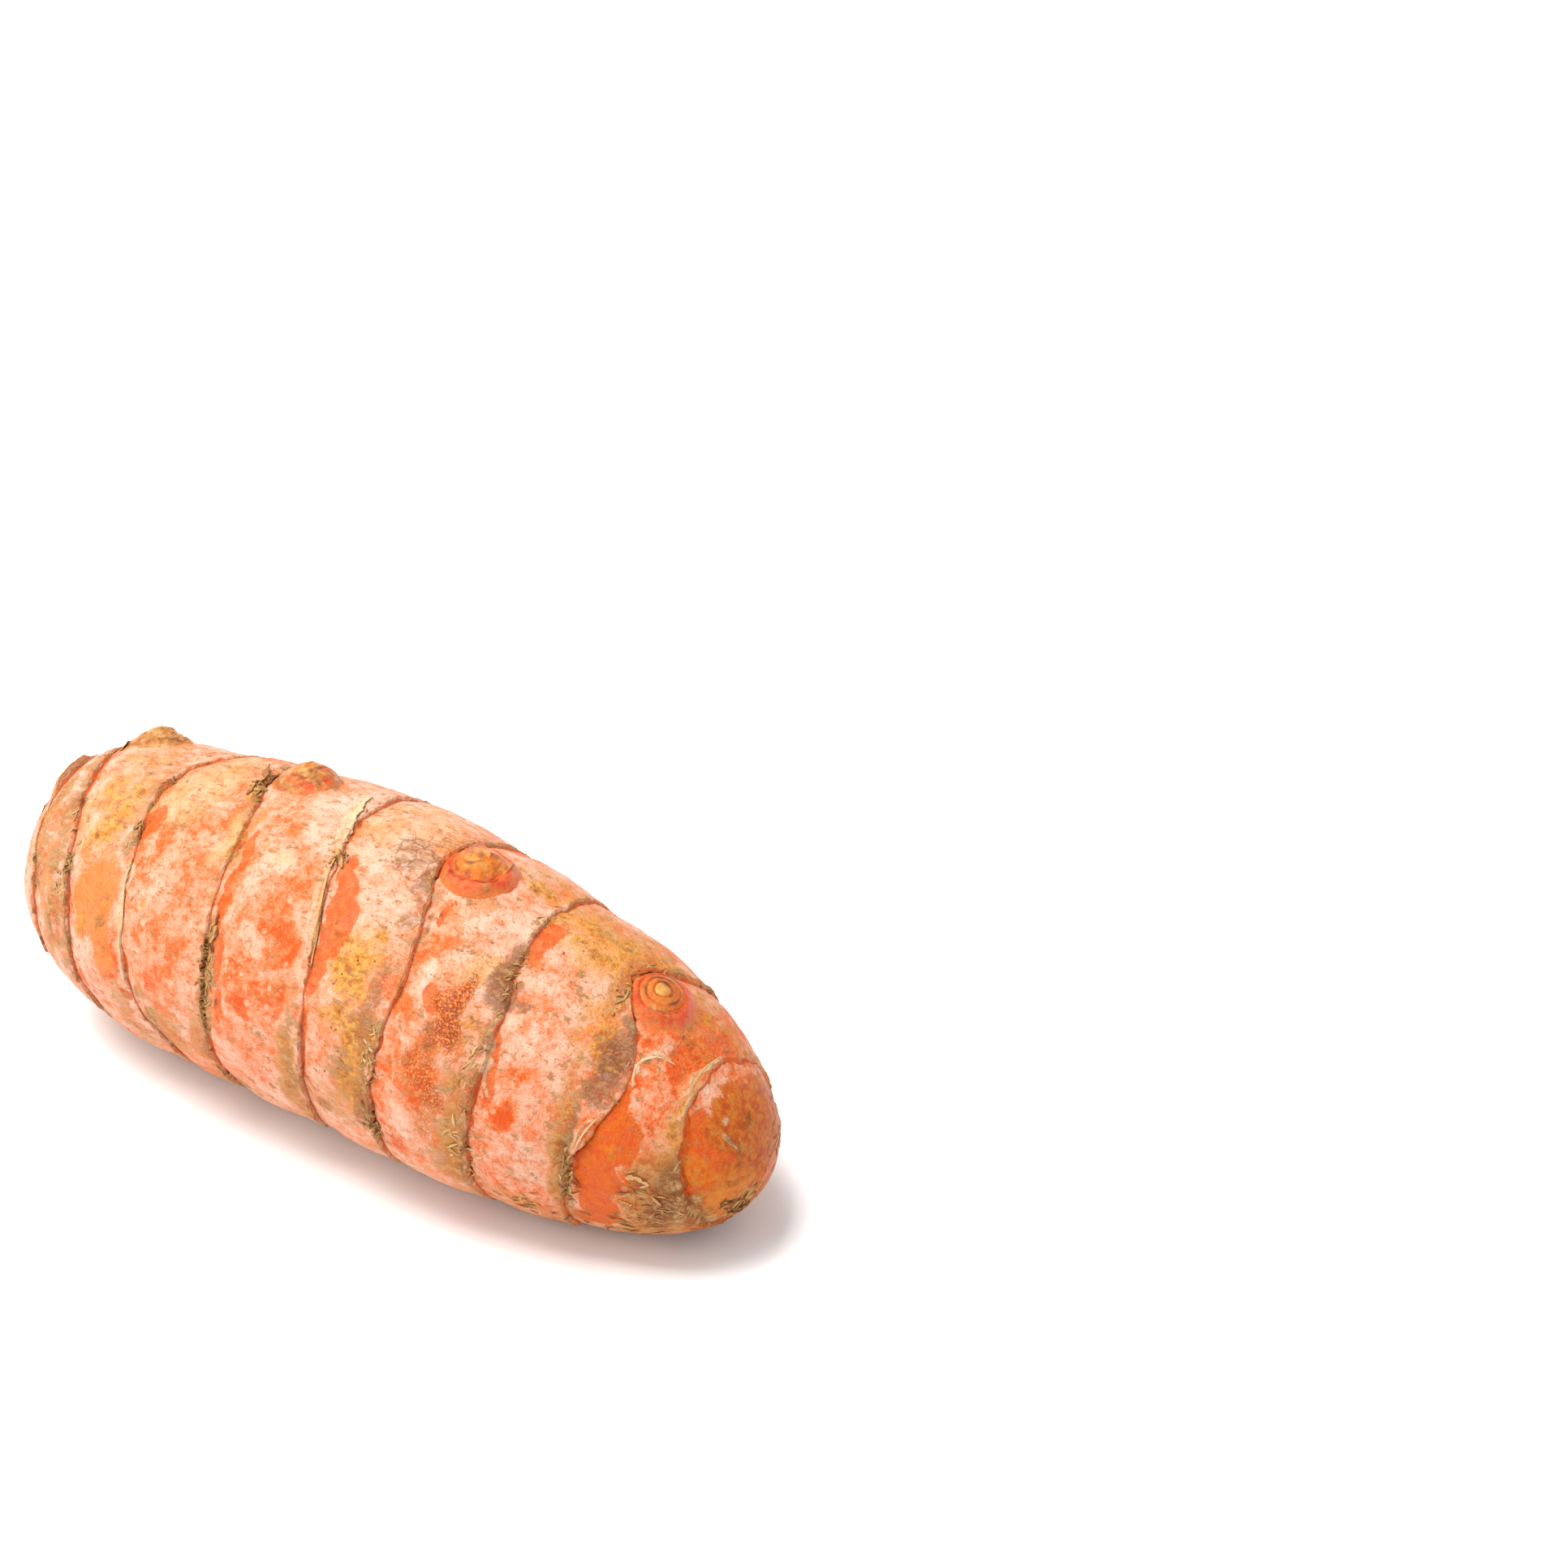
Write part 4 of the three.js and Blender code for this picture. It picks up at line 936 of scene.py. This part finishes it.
# Layers over the blush, in order: the field, the pattern that breaks its edge and how much, where it begins
# and is full, how solid it is, roughness, how far it stands up, how mottled it is, and its colours from dark
# to pale.
skinLayers = [
    {"field": "belly", "by": "cloud", "broken": 0.4, "edge": (0.3, 1.2),
     "solid": 0.55, "rough": 0.6, "up": 0.0, "mottled": 0.5,
     "colours": [seen(196, 138, 88), seen(224, 172, 122), seen(236, 190, 144)]},
    {"field": "peach", "by": "cloud", "broken": 0.2, "edge": (0.3, 0.7),
     "solid": 0.85, "rough": 0.45, "up": 0.0, "mottled": 0.3,
     "colours": [seen(247, 130, 56), seen(251, 150, 78), seen(252, 174, 108)]},
    {"field": "stain", "by": "cloud", "broken": 0.4, "edge": (0.25, 1.1),
     "solid": 0.85, "rough": 0.6, "up": 0.2, "mottled": 0.5,
     "colours": [seen(176, 100, 14), seen(232, 160, 52), seen(250, 202, 118)]},
    {"field": "bare", "by": "cloud", "broken": 0.2, "edge": (0.36, 0.62),
     "solid": 0.85, "rough": 0.36, "up": -0.8, "mottled": 0.35,
     "colours": [seen(238, 92, 24), seen(252, 120, 54), seen(254, 158, 104)]},
    {"field": "tip", "by": "fibre", "broken": 0.4, "edge": (0.15, 0.7),
     "solid": 1.0, "rough": 0.4, "up": 0.3, "mottled": 0.3,
     "colours": [seen(160, 70, 4), seen(220, 116, 14), seen(246, 168, 66)]},
    {"field": "flesh", "by": "cloud", "broken": 0.22, "edge": (0.36, 0.6),
     "solid": 0.95, "rough": 0.32, "up": -1.0, "mottled": 0.22,
     "colours": [seen(244, 84, 2), seen(255, 120, 6), seen(255, 156, 40)]},
    {"field": "amber", "by": "cloud", "broken": 0.3, "edge": (0.2, 1.1),
     "solid": 0.8, "rough": 0.3, "up": 0.0, "mottled": 0.3,
     "colours": [seen(250, 124, 4), seen(255, 156, 16), seen(255, 192, 70)]},
    {"field": "grain", "by": "pores", "broken": 0.3, "edge": (0.3, 0.9),
     "solid": 0.95, "rough": 0.7, "up": 0.3, "mottled": 0.6,
     "colours": [seen(140, 44, 4), seen(222, 106, 36), seen(250, 176, 112)]},
    {"field": "tan", "by": "fibre", "broken": 0.35, "edge": (0.15, 0.9),
     "solid": 0.85, "rough": 0.7, "up": 0.3, "mottled": 0.5,
     "colours": [seen(146, 80, 26), seen(214, 144, 74), seen(244, 200, 142)]},
    {"field": "bruise", "by": "fibre", "broken": 0.35, "edge": (0.25, 1.1),
     "solid": 0.85, "rough": 0.75, "up": 0.3, "mottled": 0.6,
     "colours": [seen(78, 52, 42), seen(144, 102, 78), seen(214, 166, 126)]},
    {"field": "budSkin", "by": "cloud", "broken": 0.3, "edge": (0.4, 1.2),
     "solid": 0.65, "rough": 0.5, "up": 0.0, "mottled": 0.5,
     "colours": [seen(206, 100, 30), seen(242, 138, 66), seen(252, 178, 120)]},
    {"field": "end", "by": "fibre", "broken": 0.4, "edge": (0.2, 0.9),
     "solid": 0.95, "rough": 0.8, "up": 0.3, "mottled": 0.3,
     "colours": [seen(166, 110, 60), seen(206, 148, 92), seen(240, 196, 140)]},
    {"field": "felt", "by": "fibre", "broken": 0.4, "edge": (0.2, 1.0),
     "solid": 0.85, "rough": 0.85, "up": 0.8, "mottled": 0.5,
     "colours": [seen(140, 98, 60), seen(200, 152, 104), seen(240, 202, 156)]},
    {"field": "pale", "by": "cloud", "broken": 0.25, "edge": (0.25, 0.8),
     "solid": 0.8, "rough": 0.55, "up": 0.6, "mottled": 0.5,
     "colours": [seen(246, 192, 146), seen(253, 216, 180), seen(255, 234, 210)]},
    {"field": "umber", "by": "cloud", "broken": 0.5, "edge": (0.25, 1.0),
     "solid": 0.65, "rough": 0.75, "up": -0.6, "mottled": 0.5,
     "colours": [seen(106, 58, 24), seen(158, 96, 48), seen(206, 142, 90)]},
]


# Round dots scattered over the skin, one in each cell of this size, from small to wide as each cell's own
# random number says.
def dotNode(tree, cell, narrow, wide, soft, shift=0.0):
    coords = addNode(tree, "ShaderNodeTexCoord").outputs["Object"]
    placed = addNode(tree, "ShaderNodeMapping", {"Vector": coords, "Location": (shift * mm,) * 3})
    cells = addNode(tree, "ShaderNodeTexVoronoi", {"Vector": placed.outputs[0], "Scale": 1 / (cell * mm)})
    random = addNode(tree, "ShaderNodeSeparateColor", {0: cells.outputs["Color"]}).outputs[0]
    radius = mathNode(tree, "MULTIPLY_ADD", random, (wide - narrow) / cell, narrow / cell)
    inside = mathNode(tree, "SUBTRACT", radius, cells.outputs["Distance"])
    return stepNode(tree, inside, 0, soft / cell)


# Thin dark lines between cells of this size, whose edges are bent by a finer cloud.
def crackNode(tree, cell, width):
    coords = addNode(tree, "ShaderNodeTexCoord").outputs["Object"]
    cloud = addNode(tree, "ShaderNodeTexNoise", {"Vector": coords, "Scale": 1.4 / (cell * mm), "Detail": 4.0})
    inputs = {0: cloud.outputs["Color"], 1: (cell * mm,) * 3, 2: coords}
    bent = addNode(tree, "ShaderNodeVectorMath", inputs, operation="MULTIPLY_ADD").outputs[0]
    inputs = {"Vector": bent, "Scale": 1 / (cell * mm)}
    edges = addNode(tree, "ShaderNodeTexVoronoi", inputs, feature="DISTANCE_TO_EDGE").outputs["Distance"]
    return stepNode(tree, edges, width / cell, 0.2 * width / cell)


# Thin fresh skin: mottled cream to coral, with flecks partly of painted fine shade, freckled, specked and
# cracked, with the marks laid over it in order.
def skinMaterial():
    material = bpy.data.materials.new("rhizomeSkin")
    material.use_nodes = True
    tree = material.node_tree
    shader = tree.nodes["Principled BSDF"]
    blotch = cloudNode(tree, 3.0, 8, 0.64)
    lace = stepNode(tree, cloudNode(tree, 1.5, 7, 0.66, shift=5.7), -0.35, 0.45)
    mottle = cloudNode(tree, 0.5, 5, 0.7, shift=3.1)
    pores = cloudNode(tree, 0.2, 3, 0.6, shift=7.3)
    patterns = {
        "cloud": cloudNode(tree, 2.0, 8, 0.68, shift=11.9),
        "pores": pores,
        "fibre": cloudNode(tree, 0.7, 6, 0.72, stretch=(0.6, 1, 1), shift=9.3),
    }
    blush = mathNode(tree, "MULTIPLY_ADD", blotch, skinLook["cloudy"], fieldNode(tree, "blush"))
    blush = mathNode(tree, "MULTIPLY_ADD", mathNode(tree, "SUBTRACT", lace, 0.5), skinLook["lacy"], blush)
    blush = mathNode(tree, "MULTIPLY_ADD", mottle, skinLook["grainy"], blush)
    blush = mathNode(tree, "MULTIPLY_ADD", pores, skinLook["powdery"], blush)
    colour = rampNode(tree, blush, skinLook["blushStops"])
    tint = mathNode(tree, "MULTIPLY_ADD", patterns["cloud"], 0.25, fieldNode(tree, "yellow"))
    tint = mathNode(tree, "MULTIPLY", stepNode(tree, tint, 0.1, 1.1), 0.6)
    colour = mixColour(tree, tint, colour, skinLook["yellow"])
    onCoral = stepNode(tree, fieldNode(tree, "blush"), 0.4, 0.65)
    for cell, wide, shift in ((0.9, 0.36, 0.0), (0.5, 0.2, 4.4)):
        dots = mathNode(tree, "MULTIPLY", dotNode(tree, cell, -0.1, wide, 0.16, shift), onCoral)
        colour = mixColour(tree, mathNode(tree, "MULTIPLY", dots, 0.6), colour, skinLook["dot"])
    # Darker orange where the fine mottle is high: partly flecks of the skin's own colour, partly painted fine
    # shade standing in for the shade of its grain.
    pepperAndShade = mathNode(tree, "MULTIPLY", stepNode(tree, mottle, 0.4, 1.4), 0.4)
    colour = mixColour(tree, pepperAndShade, colour, skinLook["pepperAndShade"])
    rough = 0.5
    height = mathNode(tree, "MULTIPLY_ADD", pores, 0.2, mathNode(tree, "MULTIPLY", mottle, 0.3))
    for layer in skinLayers:
        pattern = patterns[layer["by"]]
        value = mathNode(tree, "MULTIPLY_ADD", pattern, layer["broken"], fieldNode(tree, layer["field"]))
        factor = mathNode(tree, "MULTIPLY", stepNode(tree, value, *layer["edge"]), layer["solid"])
        crest = mottle if layer["by"] == "cloud" else pattern
        stops = [(place / 2, tone) for place, tone in enumerate(layer["colours"])]
        tone = rampNode(tree, mathNode(tree, "MULTIPLY_ADD", crest, layer["mottled"], 0.5), stops)
        colour = mixColour(tree, factor, colour, tone)
        rough = mixNumber(tree, factor, rough, layer["rough"])
        raised = mathNode(tree, "MULTIPLY_ADD", crest, 0.4 * abs(layer["up"]), layer["up"])
        height = mathNode(tree, "MULTIPLY_ADD", factor, raised, height)
    specks = mathNode(tree, "MULTIPLY", dotNode(tree, 0.42, -0.05, 0.12, 0.05, 2.3), fieldNode(tree, "speckle"))
    colour = mixColour(tree, mathNode(tree, "MULTIPLY", specks, 0.8), colour, skinLook["speck"])
    cracked = stepNode(tree, fieldNode(tree, "crackle"), 0.2, 0.9)
    cracks = mathNode(tree, "MULTIPLY", crackNode(tree, 1.5, 0.08), cracked)
    colour = mixColour(tree, mathNode(tree, "MULTIPLY", cracks, 0.45), colour, skinLook["crack"])
    height = mathNode(tree, "MULTIPLY_ADD", cracks, -0.8, height)

    bumpInputs = {"Height": height, "Distance": skinLook["bumpHeight"] * mm, "Strength": 1.0}
    bump = addNode(tree, "ShaderNodeBump", bumpInputs)
    tree.links.new(colour, shader.inputs["Base Color"])
    tree.links.new(rough, shader.inputs["Roughness"])
    tree.links.new(bump.outputs[0], shader.inputs["Normal"])
    shader.inputs["Specular IOR Level"].default_value = 0.2
    shader.inputs["Subsurface Weight"].default_value = 0.1
    shader.inputs["Subsurface Radius"].default_value = (1.0, 0.35, 0.12)
    shader.inputs["Subsurface Scale"].default_value = 0.7 * mm
    return material


budLook = {
    "tones": [
        (0.0, seen(247, 140, 80)), (0.22, seen(238, 92, 12)), (0.5, seen(230, 112, 24)),
        (0.75, seen(240, 146, 26)), (1.0, seen(244, 192, 110)),
    ],
    "dryTones": [(0.0, seen(126, 76, 32)), (0.5, seen(206, 150, 84)), (1.0, seen(240, 200, 140))],
    "brown": seen(168, 84, 16),
    # dark brown of the creases round the scales, partly their own brown, partly painted shade
    "creaseAndShade": seen(130, 60, 10),
}


# Bud scales: orange at the foot to gold at the top, with brown blotches and dark creases that are partly painted
# shade, tan where they are dry.
def budMaterial():
    material = bpy.data.materials.new("budScales")
    material.use_nodes = True
    tree = material.node_tree
    shader = tree.nodes["Principled BSDF"]
    mixed = cloudNode(tree, 0.9, 7, 0.7)
    tone = mathNode(tree, "MULTIPLY_ADD", mixed, 0.12, fieldNode(tree, "tone"))
    colour = rampNode(tree, tone, budLook["tones"])
    blotch = cloudNode(tree, 1.2, 7, 0.7, shift=2.9)
    higher = stepNode(tree, fieldNode(tree, "tone"), 0.2, 0.6)
    brown = mathNode(tree, "MULTIPLY", stepNode(tree, blotch, 0.1, 1.0), higher)
    colour = mixColour(tree, mathNode(tree, "MULTIPLY", brown, 0.6), colour, budLook["brown"])
    dry = mathNode(tree, "MULTIPLY_ADD", blotch, -0.5, fieldNode(tree, "dry"))
    dryColour = rampNode(tree, mathNode(tree, "MULTIPLY_ADD", mixed, 0.4, 0.55), budLook["dryTones"])
    colour = mixColour(tree, mathNode(tree, "MULTIPLY", stepNode(tree, dry, 0.2, 0.9), 0.9), colour, dryColour)
    # The creases darken partly with the scales' own brown, partly with painted shade.
    creaseAndShade = mathNode(tree, "MULTIPLY_ADD", mixed, 0.25, fieldNode(tree, "creaseAndShade"))
    creaseAndShade = mathNode(tree, "MULTIPLY", stepNode(tree, creaseAndShade, 0.2, 1.0), 0.75)
    colour = mixColour(tree, creaseAndShade, colour, budLook["creaseAndShade"])
    bump = addNode(tree, "ShaderNodeBump", {"Height": mixed, "Distance": 0.03 * mm, "Strength": 1.0})
    tree.links.new(colour, shader.inputs["Base Color"])
    tree.links.new(bump.outputs[0], shader.inputs["Normal"])
    shader.inputs["Roughness"].default_value = 0.35
    shader.inputs["Specular IOR Level"].default_value = 0.35
    return material


sheathLook = {
    "tones": [
        (0.0, seen(255, 230, 198)), (0.35, seen(240, 198, 140)), (0.7, seen(198, 150, 98)),
        (1.0, seen(116, 74, 44)),
    ],
}


# Dried sheath: cream to dark brown, streaked along the finger.
def sheathMaterial():
    material = bpy.data.materials.new("drySheath")
    material.use_nodes = True
    tree = material.node_tree
    shader = tree.nodes["Principled BSDF"]
    streaks = cloudNode(tree, 0.7, 6, 0.7, stretch=(0.3, 1, 1))
    tone = mathNode(tree, "MULTIPLY_ADD", streaks, 0.1, fieldNode(tree, "tone"))
    bump = addNode(tree, "ShaderNodeBump", {"Height": streaks, "Distance": 0.05 * mm, "Strength": 0.8})
    tree.links.new(rampNode(tree, tone, sheathLook["tones"]), shader.inputs["Base Color"])
    tree.links.new(bump.outputs[0], shader.inputs["Normal"])
    shader.inputs["Roughness"].default_value = 0.75
    shader.inputs["Specular IOR Level"].default_value = 0.2
    return material


stageLook = {
    "floorSize": 3.0,  # metres
    "floorTone": 0.95,
    "sky": 0.72,
    "lights": [  # name, place and aim in metres, width, power
        ("keySoftbox", (-0.22, -0.08, 0.7), (0, 0, 0.01), 0.45, 8.0),
        ("fillSoftbox", (-0.4, -0.5, 0.5), (0, 0, 0.01), 0.6, 1.9),
    ],
}


# A pale floor, soft boxes and an even sky.
def makeStage():
    half = stageLook["floorSize"] / 2
    mesh = bpy.data.meshes.new("floor")
    corners = [(-half, -half, -0.00005), (half, -half, -0.00005), (half, half, -0.00005), (-half, half, -0.00005)]
    mesh.from_pydata(corners, [], [(0, 1, 2, 3)])
    floor = bpy.data.objects.new("floor", mesh)
    bpy.context.scene.collection.objects.link(floor)
    paper = bpy.data.materials.new("floorPaper")
    paper.use_nodes = True
    shader = paper.node_tree.nodes["Principled BSDF"]
    shader.inputs["Base Color"].default_value = (stageLook["floorTone"],) * 3 + (1,)
    shader.inputs["Roughness"].default_value = 0.7
    mesh.materials.append(paper)

    world = bpy.data.worlds.new("studio")
    world.use_nodes = True
    world.node_tree.nodes["Background"].inputs["Color"].default_value = (1, 1, 1, 1)
    world.node_tree.nodes["Background"].inputs["Strength"].default_value = stageLook["sky"]
    bpy.context.scene.world = world
    for name, place, aim, width, power in stageLook["lights"]:
        light = bpy.data.lights.new(name, "AREA")
        light.size = width
        light.energy = power
        lamp = bpy.data.objects.new(name, light)
        lamp.location = place
        toAim = Vector(aim) - Vector(place)
        lamp.rotation_euler = toAim.to_track_quat("-Z", "Y").to_euler()
        bpy.context.scene.collection.objects.link(lamp)
    print("stage set")


view = {
    "place": (0.16135, -0.19197, 0.2098),  # metres
    "azimuth": 33.656,  # degrees
    "elevation": 36.0,
    "lens": 100.0,
    "sensor": 36.0,
}


# The camera looks along its azimuth and down by its elevation, at the side that shows best.
def makeCamera():
    camera = bpy.data.cameras.new("camera")
    camera.lens = view["lens"]
    camera.sensor_width = view["sensor"]
    camera.clip_start = 0.01
    holder = bpy.data.objects.new("camera", camera)
    holder.location = view["place"]
    holder.rotation_euler = (math.radians(90 - view["elevation"]), 0, math.radians(view["azimuth"]))
    bpy.context.scene.collection.objects.link(holder)
    bpy.context.scene.camera = holder
    print("camera placed")


bpy.context.scene.view_settings.view_transform = "Standard"
makeCamera()
makeStage()
scatterHidden()
makeSkin(skinMaterial())
scaleMaterial = budMaterial()
for number, bud in enumerate(buds):
    makeBud(number, bud, scaleMaterial)
print("buds made,", len(buds))
dryMaterial = sheathMaterial()
makeScraps(dryMaterial)
makeShreds(dryMaterial)
